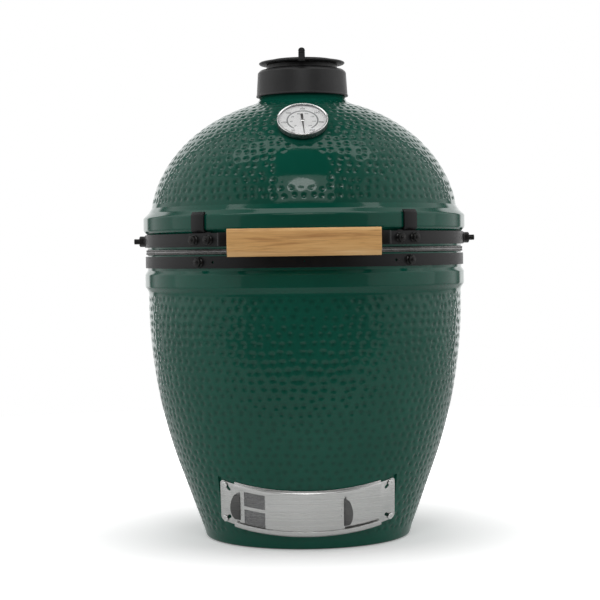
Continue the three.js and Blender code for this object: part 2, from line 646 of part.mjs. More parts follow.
function cookingGrid() {
  const outer = 231;
  const high = GRID_LOW + 6;
  const bars = [];
  for (let x = -196; x <= 196; x += 28) {
    const half = Math.sqrt((outer - 4) ** 2 - x ** 2);
    bars.push(new THREE.BoxGeometry(4.4, 2 * half, 4.4).translate(x, 0, high - 3));
  }
  bars.push(new THREE.BoxGeometry(2 * outer - 8, 5, 3.4).translate(0, 0, GRID_LOW + 1.8));
  return combine([ring(outer - 6, outer, GRID_LOW, high, CAP_ROUND), ...bars]);
}

function addInside() {
  place("fire_box", fireBox(), fireClay);
  const ringLow = FIRE.boxTop + GAP;
  const ringSection = [[209, ringLow], [226, ringLow], [236, FIRE.ringTop], [218, FIRE.ringTop]];
  place("fire_ring", turned(ringSection, SMALL_ROUND), fireClay);
  place("charcoal_grate", charcoalGrate(), castIron);
  place("cooking_grid", cookingGrid(), stainless);
}

// ---------------------------------------------------------------- the grill
place("base_shell", baseShell(), glaze);
place("dome_shell", domeShell(), glaze);
addBands();
addSideStuds();
addHandle();
addHinge();
addCap();
addFingerTab();
addGauge();
addDraftDoor();
addInside();

export default grill;
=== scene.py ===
import json
import math
import random

import bmesh
import bpy
import numpy as np
from mathutils import Matrix, Vector, kdtree, noise


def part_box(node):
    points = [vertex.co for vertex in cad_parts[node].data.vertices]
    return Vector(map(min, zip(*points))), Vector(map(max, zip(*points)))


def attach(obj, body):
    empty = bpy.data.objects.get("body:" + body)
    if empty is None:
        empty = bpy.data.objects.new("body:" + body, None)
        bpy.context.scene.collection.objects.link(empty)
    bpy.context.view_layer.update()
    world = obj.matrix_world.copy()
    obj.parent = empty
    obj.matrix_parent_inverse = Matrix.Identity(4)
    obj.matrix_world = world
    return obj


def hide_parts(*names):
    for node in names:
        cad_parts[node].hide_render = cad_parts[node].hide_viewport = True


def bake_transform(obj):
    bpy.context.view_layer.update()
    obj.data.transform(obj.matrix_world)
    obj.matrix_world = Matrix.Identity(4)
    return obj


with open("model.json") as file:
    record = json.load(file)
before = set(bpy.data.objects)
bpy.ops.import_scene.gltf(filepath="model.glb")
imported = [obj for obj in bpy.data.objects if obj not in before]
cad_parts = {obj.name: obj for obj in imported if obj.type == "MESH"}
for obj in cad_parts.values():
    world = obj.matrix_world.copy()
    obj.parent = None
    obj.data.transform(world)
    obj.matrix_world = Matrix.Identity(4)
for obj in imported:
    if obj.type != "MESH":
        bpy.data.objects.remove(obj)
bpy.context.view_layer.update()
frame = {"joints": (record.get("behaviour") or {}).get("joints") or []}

MM = 0.001
RAD = math.pi / 180
JOINTS = {j["name"]: j for j in frame["joints"]}


def box_mm(node):
    low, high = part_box(node)
    return [c / MM for c in low], [c / MM for c in high]


# ------------------------------------------------------------------ camera, light and floor
EYE = Vector((0.0, -2.9, 0.4867))
FRAME_PX = 600
FOCAL_PX = 1687
AXIS_RIGHT_PX = 5  # the grill's axis stands this far right of the frame's centre
PITCH = -1.70  # degrees, down
ROLL = -0.8  # degrees about the line of sight


def add_camera():
    data = bpy.data.cameras.new("camera")
    data.sensor_width = 36
    data.lens = 36 * FOCAL_PX / FRAME_PX
    data.clip_start = 0.1
    data.clip_end = 60
    camera = bpy.data.objects.new("camera", data)
    bpy.context.scene.collection.objects.link(camera)
    yaw = math.atan(AXIS_RIGHT_PX / FOCAL_PX)
    turn = Matrix.Rotation(yaw, 4, "Z") @ Matrix.Rotation((90 + PITCH) * RAD, 4, "X")
    camera.matrix_world = Matrix.Translation(EYE) @ turn @ Matrix.Rotation(ROLL * RAD, 4, "Z")
    bpy.context.scene.camera = camera


def area_light(name, width, height, radiance, shape="RECTANGLE"):
    data = bpy.data.lights.new(name, "AREA")
    data.shape = shape
    data.size, data.size_y = width, height
    data.energy = radiance * math.pi * width * height
    light = bpy.data.objects.new(name, data)
    bpy.context.scene.collection.objects.link(light)
    light.visible_camera = False
    return light


def add_softbox(name, azimuth, elevation, distance, width, height, radiance, shape="RECTANGLE"):
    """An area light that faces the middle of the grill. Azimuth 0 is the front."""
    light = area_light(name, width, height, radiance, shape)
    a, e = azimuth * RAD, elevation * RAD
    away = Vector((math.sin(a) * math.cos(e), -math.cos(a) * math.cos(e), math.sin(e)))
    light.location = Vector((0, 0, 0.45)) + away * distance
    light.rotation_euler = away.to_track_quat("Z", "Y").to_euler()


def add_overhead():
    """A long soft light straight above, a little in front of the axis."""
    area_light("softbox_top", 3.2, 0.62, 2.0).location = (0, -0.28, 2.7)


# Half the studio's brightness by its direction round the grill: 0 is the front, 1 the back.
AROUND = [(0.0, 0.09), (0.12, 0.09), (0.28, 0.16), (0.50, 0.30), (0.74, 0.48),
          (0.79, 0.10), (0.81, 0.10), (0.83, 0.80), (1.0, 0.8)]


def add_world():
    """A white surround, dimmer towards the front and straight above as a studio is."""
    world = bpy.data.worlds.new("studio")
    bpy.context.scene.world = world
    world.use_nodes = True
    nodes = Nodes(world.node_tree)
    nodes.tree.nodes.clear()
    split = nodes.add("SeparateXYZ")
    nodes.link(nodes.add("TexCoord").outputs["Generated"], split.inputs[0])
    x, y, z = split.outputs
    turn = nodes.combined("ARCTAN2", x, nodes.combined("MULTIPLY", y, -1))
    turn = nodes.span(nodes.combined("ABSOLUTE", turn, 0), 0, math.pi, 0, 1)
    bands = nodes.ramp(turn, [(position, (value,) * 3) for position, value in AROUND])
    above = nodes.span(z, 0.50, 0.75, 2.0, 0.25, "SMOOTHSTEP")
    aside = nodes.span(nodes.combined("ABSOLUTE", x, 0), 0.18, 0.48, 0.0, 2.6, "SMOOTHSTEP")
    below = nodes.span(z, -0.30, -0.02, 0.25, 1.0, "SMOOTHSTEP")
    level = nodes.combined("MULTIPLY", bands, nodes.combined("MAXIMUM", above, aside))
    shade = nodes.add("Background")
    nodes.link(nodes.combined("MULTIPLY", level, below), shade.inputs["Strength"])
    plain = nodes.add("Background")
    plain.inputs["Color"].default_value = (1, 1, 1, 1)
    mix = nodes.add("MixShader")
    nodes.link(nodes.add("LightPath").outputs["Is Camera Ray"], mix.inputs["Fac"])
    nodes.link(shade.outputs[0], mix.inputs[1])
    nodes.link(plain.outputs[0], mix.inputs[2])
    nodes.link(mix.outputs[0], nodes.add("OutputWorld").inputs["Surface"])


def add_floor():
    """A round pale floor. To the camera it whitens away from the grill, as a studio sweep does."""
    mesh = bpy.data.meshes.new("floor")
    reach, sides = 2.3, 96
    turns = [2 * math.pi * k / sides for k in range(sides)]
    ring = [(reach * math.cos(t), reach * math.sin(t), 0) for t in turns]
    mesh.from_pydata(ring, [], [tuple(range(sides))])
    floor = bpy.data.objects.new("floor", mesh)
    bpy.context.scene.collection.objects.link(floor)
    paint = Paint("floor", (0.92, 0.92, 0.92), 0.9)
    paint.set("Specular IOR Level", 0.1)
    paint.set("Emission Color", (1, 1, 1, 1))
    length = paint.add("VectorMath")
    length.operation = "LENGTH"
    paint.link(paint.place, length.inputs[0])
    far = paint.span(length.outputs["Value"], 0.22, 0.75, 0.22, 1.1)
    seen = paint.add("LightPath").outputs["Is Camera Ray"]
    paint.feed(paint.combined("MULTIPLY", seen, far), "Emission Strength")
    split = paint.add("SeparateXYZ")
    paint.link(paint.place, split.inputs[0])
    back = paint.span(split.outputs["Y"], -1.25, -0.85, 0, 1)
    paint.feed(paint.ramp(back, [(0, (0.15,) * 3), (1, (0.92,) * 3)]), "Base Color")
    mesh.materials.append(paint.material)
    floor.location.z = -0.0006


def add_studio():
    add_camera()
    add_world()
    add_floor()
    add_softbox("softbox_left", -72, 16, 2.7, 3.1, 2.6, 0.42)
    add_softbox("softbox_right", 72, 16, 2.7, 3.1, 2.6, 0.42)
    add_softbox("softbox_front", 0, 36, 3.3, 2.3, 1.5, 1.5)
    add_softbox("lamp_front", -1, 40, 3.1, 0.9, 0.62, 4.5, "ELLIPSE")
    add_overhead()
    bpy.context.scene.view_settings.view_transform = "Standard"


# ------------------------------------------------------------------ material helpers
class Nodes:
    """A node tree with short ways to add and join the nodes that the materials use."""

    def __init__(self, tree):
        self.tree = tree

    def add(self, kind):
        return self.tree.nodes.new("ShaderNode" + kind)

    def link(self, source, target):
        self.tree.links.new(source, target)

    def span(self, source, low, high, start, end, kind="LINEAR"):
        node = self.add("MapRange")
        node.interpolation_type = kind
        node.inputs["From Min"].default_value = low
        node.inputs["From Max"].default_value = high
        node.inputs["To Min"].default_value = start
        node.inputs["To Max"].default_value = end
        self.link(source, node.inputs["Value"])
        return node.outputs["Result"]

    def ramp(self, source, stops):
        node = self.add("ValToRGB")
        elements = node.color_ramp.elements
        for position, _ in stops[2:]:
            elements.new(position)
        for element, (position, colour) in zip(elements, stops):
            element.position = position
            element.color = (*colour, 1)
        self.link(source, node.inputs["Fac"])
        return node.outputs["Color"]

    def combined(self, kind, first, second):
        node = self.add("Math")
        node.operation = kind
        for i, value in enumerate((first, second)):
            if isinstance(value, (int, float)):
                node.inputs[i].default_value = value
            else:
                self.link(value, node.inputs[i])
        return node.outputs[0]


class Paint(Nodes):
    """A Principled material with helpers for its procedural nodes."""

    def __init__(self, name, colour, roughness, metallic=0.0):
        self.material = bpy.data.materials.new(name)
        self.material.use_nodes = True
        super().__init__(self.material.node_tree)
        self.shader = self.tree.nodes["Principled BSDF"]
        self.set("Base Color", (*colour, 1))
        self.set("Roughness", roughness)
        self.set("Metallic", metallic)
        self.place = self.add("TexCoord").outputs["Object"]

    def set(self, socket, value):
        self.shader.inputs[socket].default_value = value

    def feed(self, source, socket):
        self.link(source, self.shader.inputs[socket])

    def stretched(self, scale, rotation=(0, 0, 0)):
        node = self.add("Mapping")
        node.inputs["Scale"].default_value = scale
        node.inputs["Rotation"].default_value = rotation
        self.link(self.place, node.inputs["Vector"])
        return node.outputs[0]

    def noise(self, scale, detail=3.0, place=None, roughness=0.55, distortion=0.0):
        node = self.add("TexNoise")
        node.inputs["Scale"].default_value = scale
        node.inputs["Detail"].default_value = detail
        node.inputs["Roughness"].default_value = roughness
        node.inputs["Distortion"].default_value = distortion
        self.link(place or self.place, node.inputs["Vector"])
        return node.outputs["Fac"]

    def attribute(self, name):
        node = self.add("Attribute")
        node.attribute_name = name
        return node.outputs["Fac"]

    def mixed(self, factor, first, second):
        node = self.add("Mix")
        node.data_type = "RGBA"
        self.link(factor, node.inputs[0])
        for value, socket in ((first, node.inputs[6]), (second, node.inputs[7])):
            if isinstance(value, tuple):
                socket.default_value = (*value, 1)
            else:
                self.link(value, socket)
        return node.outputs[2]

    def bump(self, height, strength, distance):
        node = self.add("Bump")
        node.inputs["Strength"].default_value = strength
        node.inputs["Distance"].default_value = distance
        self.link(height, node.inputs["Height"])
        self.feed(node.outputs[0], "Normal")

    def surfaced(self, tone, gloss, relief=None):
        """A mottled tone, a varied gloss and a fine relief, each from its own noise."""
        settings, stops = tone
        self.feed(self.ramp(self.noise(*settings), stops), "Base Color")
        settings, low, high = gloss
        self.feed(self.span(self.noise(*settings), 0.3, 0.7, low, high), "Roughness")
        if relief:
            settings, strength, distance = relief
            self.bump(self.noise(*settings), strength, distance)
        return self.material


def glaze_material():
    paint = Paint("green_glaze", (0.002, 0.088, 0.055), 0.08)
    cloud = paint.noise(9, 3)
    tone = paint.ramp(cloud, [(0.3, (0.003, 0.070, 0.046)), (0.7, (0.0045, 0.085, 0.056))])
    # The base colour is darker down in the dimples: painted shade in the pits.
    pit_shaded_tone = paint.mixed(paint.attribute("pit"), tone, (0.0022, 0.055, 0.036))
    paint.set("Specular IOR Level", 0.27)
    paint.feed(pit_shaded_tone, "Base Color")
    paint.feed(paint.span(paint.noise(60, 2), 0.3, 0.7, 0.055, 0.11), "Roughness")
    paint.bump(paint.noise(210, 2), 0.10, 0.0004)
    return paint.material


def black_steel_material():
    paint = Paint("black_powder_coat", (0.009, 0.009, 0.0095), 0.42)
    paint.set("Specular IOR Level", 0.27)
    stops = [(0.3, (0.0040, 0.0040, 0.0045)), (0.75, (0.008, 0.008, 0.0085))]
    return paint.surfaced(((30, 4), stops), ((1400, 2), 0.34, 0.50), ((1400, 2), 0.25, 0.0002))


def black_bolt_material():
    paint = Paint("black_oxide", (0.012, 0.012, 0.012), 0.32, 0.6)
    stops = [(0.35, (0.008, 0.008, 0.008)), (0.75, (0.028, 0.027, 0.026))]
    return paint.surfaced(((260, 3), stops), ((500, 2), 0.25, 0.42), ((1800, 2), 0.15, 0.0001))


def cap_material():
    paint = Paint("cap_black", (0.013, 0.013, 0.0135), 0.38)
    paint.set("Specular IOR Level", 0.4)
    stops = [(0.3, (0.010, 0.010, 0.0105)), (0.7, (0.017, 0.017, 0.0175))]
    return paint.surfaced(((24, 3), stops), ((520, 4), 0.36, 0.50), ((520, 4), 0.22, 0.0004))


def felt_material():
    paint = Paint("grey_felt", (0.10, 0.098, 0.094), 0.95)
    fibre = paint.noise(330, 5, roughness=0.72, distortion=1.0)
    stops = [(0.3, (0.016, 0.016, 0.0155)), (0.5, (0.062, 0.061, 0.058)), (0.72, (0.21, 0.206, 0.198))]
    paint.feed(paint.ramp(fibre, stops), "Base Color")
    paint.set("Sheen Weight", 0.4)
    paint.set("Sheen Roughness", 0.5)
    paint.bump(paint.noise(900, 4, roughness=0.7), 0.9, 0.0008)
    return paint.material


def brushed_material(name, colour, tilt=0.0, roughness=(0.20, 0.34), across=(2.5, 2.5, 900)):
    """Steel with fine lines; tilt leans the lines, in radians."""
    paint = Paint(name, colour, 0.28, 1.0)
    lines = paint.noise(1.0, 3, paint.stretched(across, (tilt, 0, 0)), 0.6)
    dark = tuple(c * 0.84 for c in colour)
    light = tuple(min(1, c * 1.08) for c in colour)
    tone = paint.ramp(lines, [(0.25, dark), (0.75, light)])
    stain = paint.span(paint.noise(14, 3), 0.35, 0.75, 0.0, 0.16)
    paint.feed(paint.mixed(stain, tone, (0.42, 0.42, 0.41)), "Base Color")
    paint.feed(paint.span(lines, 0.25, 0.75, *roughness), "Roughness")
    paint.bump(lines, 0.12, 0.0001)
    return paint.material


def bright_material():
    paint = Paint("bright_steel", (0.78, 0.78, 0.77), 0.14, 1.0)
    stops = [(0.3, (0.70, 0.70, 0.69)), (0.7, (0.84, 0.84, 0.83))]
    return paint.surfaced(((45, 3), stops), ((320, 3), 0.10, 0.20), ((700, 2), 0.05, 0.0001))


def spring_material():
    paint = Paint("spring_steel", (0.30, 0.30, 0.31), 0.30, 1.0)
    stops = [(0.3, (0.20, 0.20, 0.21)), (0.7, (0.40, 0.40, 0.41))]
    return paint.surfaced(((160, 3), stops), ((420, 2), 0.24, 0.40), ((1500, 2), 0.1, 0.0001))


def wood_material():
    paint = Paint("honey_wood", (0.66, 0.38, 0.14), 0.45)
    warp = paint.noise(1.0, 3, paint.stretched((5, 34, 34)))
    rings = paint.noise(1.0, 6, paint.stretched((9, 150, 150)), 0.62, 0.8)
    pores = paint.noise(1.0, 3, paint.stretched((26, 900, 900)), 0.7)
    grain = paint.combined("ADD", paint.combined("MULTIPLY", rings, 0.6),
                           paint.combined("MULTIPLY", warp, 0.4))
    tone = paint.ramp(grain, [(0.32, (0.50, 0.235, 0.075)), (0.45, (0.76, 0.42, 0.15)),
                              (0.58, (0.85, 0.52, 0.215)), (0.72, (0.92, 0.64, 0.32))])
    flecks = paint.mixed(paint.span(pores, 0.56, 0.72, 0.0, 0.55), tone, (0.42, 0.19, 0.06))
    paint.feed(flecks, "Base Color")
    paint.feed(paint.span(rings, 0.3, 0.7, 0.52, 0.38), "Roughness")
    paint.bump(pores, 0.22, 0.0003)
    return paint.material


def clay_material():
    paint = Paint("fire_clay", (0.56, 0.46, 0.33), 0.9)
    specks = paint.noise(240, 5, roughness=0.75)
    tone = paint.ramp(paint.noise(7, 4), [(0.3, (0.46, 0.37, 0.26)), (0.7, (0.62, 0.53, 0.40))])
    paint.feed(paint.mixed(paint.span(specks, 0.56, 0.7, 0.0, 0.7), tone, (0.22, 0.16, 0.11)), "Base Color")
    paint.bump(paint.noise(420, 5, roughness=0.7), 0.5, 0.0008)
    return paint.material


def grate_material():
    paint = Paint("cast_iron", (0.03, 0.029, 0.028), 0.62, 0.4)
    stops = [(0.3, (0.020, 0.019, 0.018)), (0.75, (0.048, 0.043, 0.038))]
    rough = (380, 5, None, 0.7)
    return paint.surfaced(((18, 4), stops), (rough, 0.5, 0.75), (rough, 0.45, 0.0006))


def silicone_material():
    paint = Paint("black_silicone", (0.011, 0.011, 0.012), 0.62)
    stops = [(0.3, (0.008, 0.008, 0.009)), (0.7, (0.016, 0.016, 0.017))]
    return paint.surfaced(((120, 3), stops), ((800, 2), 0.55, 0.7), ((900, 3), 0.2, 0.0003))


def dial_material():
    paint = Paint("dial_enamel", (0.80, 0.81, 0.80), 0.4)
    stops = [(0.3, (0.90, 0.90, 0.895)), (0.7, (0.95, 0.95, 0.945))]
    return paint.surfaced(((90, 3), stops), ((500, 2), 0.34, 0.46))


def ink_material(name, colour):
    lighter = tuple(c * 1.3 + 0.01 for c in colour)
    stops = [(0.35, colour), (0.7, lighter)]
    return Paint(name, colour, 0.5).surfaced(((900, 2), stops), ((1500, 2), 0.42, 0.58))


def lens_material():
    """Thin clear glass: what is behind shows straight through, under a faint gloss."""
    material = bpy.data.materials.new("lens_glass")
    material.use_nodes = True
    nodes = Nodes(material.node_tree)
    nodes.tree.nodes.clear()
    smear = nodes.add("TexNoise")
    smear.inputs["Scale"].default_value = 70
    gloss = nodes.add("BsdfGlossy")
    nodes.link(nodes.span(smear.outputs["Fac"], 0, 1, 0.02, 0.06), gloss.inputs["Roughness"])
    edge = nodes.combined("POWER", nodes.add("LayerWeight").outputs["Facing"], 5)
    mix = nodes.add("MixShader")
    nodes.link(nodes.span(edge, 0, 1, 0.03, 1), mix.inputs["Fac"])
    nodes.link(nodes.add("BsdfTransparent").outputs[0], mix.inputs[1])
    nodes.link(gloss.outputs[0], mix.inputs[2])
    nodes.link(mix.outputs[0], nodes.add("OutputMaterial").inputs["Surface"])
    return material


# ------------------------------------------------------------------ mesh helpers
def arc(x, y, radius, start, end, steps):
    return [(x + radius * math.cos((start + (end - start) * i / steps) * RAD),
             y + radius * math.sin((start + (end - start) * i / steps) * RAD)) for i in range(steps + 1)]


def rounded(points, closed=True):
    """An outline whose corners given as (x, y, radius) are rounded; (x, y) stay sharp."""
    made = []
    count = len(points)
    for i, point in enumerate(points):
        here = Vector(point[:2])
        if len(point) < 3 or (not closed and i in (0, count - 1)):
            made.append(tuple(here))
            continue
        before = Vector(points[i - 1][:2]) - here
        after = Vector(points[(i + 1) % count][:2]) - here
        angle = before.angle(after)
        if angle > math.pi - 0.02:
            made.append(tuple(here))
            continue
        cut = min(point[2] / math.tan(angle / 2), 0.48 * before.length, 0.48 * after.length)
        radius = cut * math.tan(angle / 2)
        first, last = here + before.normalized() * cut, here + after.normalized() * cut
        inward = (before.normalized() + after.normalized()).normalized()
        centre = here + inward * (radius / math.sin(angle / 2))
        steps = max(2, int(round((math.pi - angle) / (14 * RAD))))
        start, end = first - centre, last - centre
        sweep = math.atan2(start.x * end.y - start.y * end.x, start.dot(end))
        for k in range(steps + 1):
            turn = sweep * k / steps
            made.append((centre.x + start.x * math.cos(turn) - start.y * math.sin(turn),
                         centre.y + start.x * math.sin(turn) + start.y * math.cos(turn)))
    return made


class Form:
    """Vertices in millimetres and faces, before they become an object."""

    def __init__(self, verts, faces):
        self.verts = np.array(verts, float).reshape(-1, 3)
        self.faces = [tuple(f) for f in faces]

    def moved(self, matrix):
        m = np.array(matrix, float)
        self.verts = self.verts @ m[:3, :3].T + m[:3, 3]
        if np.linalg.det(m[:3, :3]) < 0:
            self.faces = [f[::-1] for f in self.faces]
        return self

    def at(self, x, y, z):
        return self.moved(Matrix.Translation((x, y, z)))

    def turned(self, degrees, axis):
        return self.moved(Matrix.Rotation(degrees * RAD, 4, axis))

    def copy(self):
        return Form(self.verts.copy(), self.faces)

    def joined(self, *others):
        verts, faces = [self.verts], list(self.faces)
        total = len(self.verts)
        for other in others:
            faces += [tuple(i + total for i in f) for f in other.faces]
            verts.append(other.verts)
            total += len(other.verts)
        return Form(np.concatenate(verts), faces)


def lathe(outline, segments, closed=True):
    """A (radius, height) outline turned about Z: a ring if it is closed, else from the axis to the axis."""
    verts, faces = [], []
    rows = []
    for r, z in outline:
        if r < 1e-6:
            rows.append([len(verts)] * segments)
            verts.append((0, 0, z))
            continue
        rows.append(list(range(len(verts), len(verts) + segments)))
        turns = [2 * math.pi * k / segments for k in range(segments)]
        verts += [(r * math.sin(t), -r * math.cos(t), z) for t in turns]
    pairs = list(zip(rows, rows[1:] + rows[:1])) if closed else list(zip(rows, rows[1:]))
    for a, b in pairs:
        for k in range(segments):
            n = (k + 1) % segments
            face = [a[k], a[n], b[n], b[k]]
            slim = [v for i, v in enumerate(face) if v != face[i - 1]]
            if len(slim) > 2:
                faces.append(slim)
    return Form(verts, faces)


def raised(outline, low, high):
    """A flat outline, counter-clockwise in X and Y, raised between two heights."""
    count = len(outline)
    verts = [(x, y, low) for x, y in outline] + [(x, y, high) for x, y in outline]
    faces = [tuple(range(count - 1, -1, -1)), tuple(range(count, 2 * count))]
    faces += [(i, (i + 1) % count, count + (i + 1) % count, count + i) for i in range(count)]
    return Form(verts, faces)


def sideways(outline, start, end):
    """An outline in Y and Z, as thick as the span of X."""
    cyclic = Matrix(((0, 0, 1, 0), (1, 0, 0, 0), (0, 1, 0, 0), (0, 0, 0, 1)))
    return raised(outline, start, end).moved(cyclic)


def rod(radius, low, high, segments=24, edge=0.0):
    if edge:
        outline = [(0, low), (radius - edge, low), *arc(radius - edge, low + edge, edge, -90, 0, 3)[1:],
                   *arc(radius - edge, high - edge, edge, 0, 90, 3), (0, high)]
    else:
        outline = [(0, low), (radius, low), (radius, high), (0, high)]
    return lathe(outline, segments, closed=False)


def block(x, y, z):
    """A box about the origin, used as a cutter and for the dial's marks."""
    verts = [(sx * x / 2, sy * y / 2, sz * z / 2) for sx in (-1, 1) for sy in (-1, 1) for sz in (-1, 1)]
    faces = [(0, 1, 3, 2), (4, 6, 7, 5), (0, 4, 5, 1), (2, 3, 7, 6), (0, 2, 6, 4), (1, 5, 7, 3)]
    return Form(verts, faces)


def hexagon(corner, low, high, turn=0):
    turns = [(a * 60 + turn) * RAD for a in range(6)]
    return raised([(corner * math.cos(t), corner * math.sin(t)) for t in turns], low, high)


def around(radius, angle):
    return radius * math.sin(angle * RAD), -radius * math.cos(angle * RAD)


def sector(inner, outer, start, end, low, high, step=1.5):
    steps = max(1, round((end - start) / step))
    angles = [start + (end - start) * i / steps for i in range(steps + 1)]
    outline = [around(outer, a) for a in angles] + [around(inner, a) for a in reversed(angles)]
    return raised(outline, low, high)


def outwards(form, angle, radius, height):
    """Lays a form built along +Z so that it points outwards at an angle, a radius and a height."""
    return form.turned(90, "X").at(0, -radius, height).turned(angle, "Z")


def strip(points, thickness):
    """The outline of a strip of constant thickness whose middle follows the points."""
    sides = [[], []]
    for i, (x, y) in enumerate(points):
        before, after = points[max(i - 1, 0)], points[min(i + 1, len(points) - 1)]
        start = math.atan2(y - before[1], x - before[0])
        end = math.atan2(after[1] - y, after[0] - x)
        first = end if i == 0 else start
        last = start if i == len(points) - 1 else end
        bend = math.atan2(math.sin(last - first), math.cos(last - first)) / 2
        for side, sign in ((sides[0], -1), (sides[1], 1)):
            out = first + bend + sign * math.pi / 2
            reach = thickness / 2 / math.cos(bend)
            side.append((x + reach * math.cos(out), y + reach * math.sin(out)))
    return sides[0] + sides[1][::-1]


def tube(path, radius, sides=10, closed=False):
    """A round wire along points, each ring square to the path."""
    points = [Vector(p) for p in path]
    count = len(points)
    verts, faces = [], []
    normal = None
    for i, point in enumerate(points):
        before = points[i - 1] if (closed or i) else point
        after = points[(i + 1) % count] if (closed or i < count - 1) else point
        along = (after - before).normalized()
        if normal is None:
            normal = along.orthogonal().normalized()
        normal = (normal - along * normal.dot(along)).normalized()
        across = along.cross(normal)
        for k in range(sides):
            a = 2 * math.pi * k / sides
            verts.append(tuple(point + (normal * math.cos(a) + across * math.sin(a)) * radius))
    for i in range(count if closed else count - 1):
        j = (i + 1) % count
        for k in range(sides):
            n = (k + 1) % sides
            faces.append((i * sides + k, i * sides + n, j * sides + n, j * sides + k))
    if not closed:
        faces.append(tuple(range(sides - 1, -1, -1)))
        faces.append(tuple(range((count - 1) * sides, count * sides)))
    return Form(verts, faces)


def inside_out(form):
    """Whether the faces of a closed form point inwards."""
    volume = 0.0
    for face in form.faces:
        ring = form.verts[list(face)]
        first = ring[:1].repeat(len(face) - 2, 0)
        volume += np.einsum("ij,ij->i", np.cross(ring[1:-1], ring[2:]), first).sum()
    return volume < 0


def raw_object(name, form):
    mesh = bpy.data.meshes.new(name)
    faces = [f[::-1] for f in form.faces] if inside_out(form) else form.faces
    mesh.from_pydata((form.verts * MM).tolist(), [], faces)
    obj = bpy.data.objects.new(name, mesh)
    bpy.context.scene.collection.objects.link(obj)
    return obj


def applied(obj):
    """Turns the modifiers of an object into its mesh."""
    graph = bpy.context.evaluated_depsgraph_get()
    mesh = bpy.data.meshes.new_from_object(obj.evaluated_get(graph))
    old = obj.data
    obj.modifiers.clear()
    obj.data = mesh
    bpy.data.meshes.remove(old)
    return obj


def boolean(obj, forms, operation):
    for form in forms:
        tool = raw_object("tool", form)
        modifier = obj.modifiers.new("cut", "BOOLEAN")
        modifier.operation = operation
        modifier.solver = "MANIFOLD"
        modifier.object = tool
        applied(obj)
        bpy.data.objects.remove(tool)
    return obj


def mark_edges(obj, degrees=32):
    """Smooth shading, with edges sharper than the angle kept sharp."""
    bm = bmesh.new()
    bm.from_mesh(obj.data)
    for face in bm.faces:
        face.smooth = True
    for edge in bm.edges:
        edge.smooth = len(edge.link_faces) == 2 and edge.calc_face_angle(0) < degrees * RAD
    bm.to_mesh(obj.data)
    bm.free()


def bevelled(obj, width, segments=2, angle=30):
    bm = bmesh.new()
    bm.from_mesh(obj.data)
    bmesh.ops.remove_doubles(bm, verts=bm.verts, dist=2e-6)
    bmesh.ops.dissolve_limit(bm, angle_limit=0.4 * RAD, verts=bm.verts, edges=bm.edges)
    bm.to_mesh(obj.data)
    bm.free()
    modifier = obj.modifiers.new("bevel", "BEVEL")
    modifier.width = width * MM
    modifier.segments = segments
    modifier.limit_method = "ANGLE"
    modifier.angle_limit = angle * RAD
    modifier.use_clamp_overlap = True
    return applied(obj)


def piece(name, parts, material, body, nodes=(), cuts=(), bevel=0.0, sharp=32):
    """One finished piece: the parts joined, less the cuts, on its body, in place of its CAD nodes."""
    parts = [parts] if isinstance(parts, Form) else list(parts)
    obj = raw_object(name, parts[0])
    boolean(obj, parts[1:], "UNION")
    boolean(obj, cuts, "DIFFERENCE")
    if bevel:
        bevelled(obj, bevel)
    mark_edges(obj, sharp)
    return settle(obj, material, body, nodes)


def settle(obj, material, body, nodes=()):
    obj.data.materials.clear()
    obj.data.materials.append(material)
    if body:
        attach(obj, body)
    if nodes:
        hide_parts(*nodes)
    return obj


def mirror_form(form):
    return form.copy().moved(Matrix.Diagonal((-1, 1, 1, 1)))


def sided(forms, sign):
    """The forms as built for the right side, or mirrored for the left."""
    return [mirror_form(f) for f in forms] if sign < 0 else forms


MAT = {
    "glaze": glaze_material(),
    "band": black_steel_material(),
    "bolt": black_bolt_material(),
    "cap": cap_material(),
    "felt": felt_material(),
    "stainless": brushed_material("brushed_stainless", (0.70, 0.70, 0.69), 20 * RAD),
    "mesh": brushed_material("steel_mesh", (0.33, 0.33, 0.34), 20 * RAD, (0.35, 0.5)),
    # The pulls' dark steel tone is a painted dark reflection on their bent sheet.
    "pull": brushed_material("pull_steel_painted_dark", (0.12, 0.12, 0.12), 20 * RAD, (0.22, 0.36)),
    "bright": bright_material(),
    "spring": spring_material(),
    "wood": wood_material(),
    "clay": clay_material(),
    "iron": grate_material(),
    "grid": brushed_material("grid_steel", (0.42, 0.42, 0.42), 0.0, (0.28, 0.42), (300, 6, 300)),
    "silicone": silicone_material(),
    "dial": dial_material(),
    "ink": ink_material("dial_ink", (0.035, 0.037, 0.04)),
    "grey_ink": ink_material("dial_grey", (0.24, 0.25, 0.25)),
    "pointer": ink_material("pointer_black", (0.018, 0.014, 0.014)),
    "lens": lens_material(),
}


# ------------------------------------------------------------------ glazed ceramic
BASE_PITCH, DOME_PITCH = 16.2, 15.2  # spacing of the dimples
PIT_REACH = 0.42  # of the spacing
PIT_DEPTH = 1.5


def sampled(outline, step):
    """Points along a polyline, no further apart than the step, corners kept."""
    made = [outline[0]]
    for (x0, y0), (x1, y1) in zip(outline, outline[1:]):
        pieces = max(1, math.ceil(math.hypot(x1 - x0, y1 - y0) / step))
        made += [(x0 + (x1 - x0) * i / pieces, y0 + (y1 - y0) * i / pieces) for i in range(1, pieces + 1)]
    return made


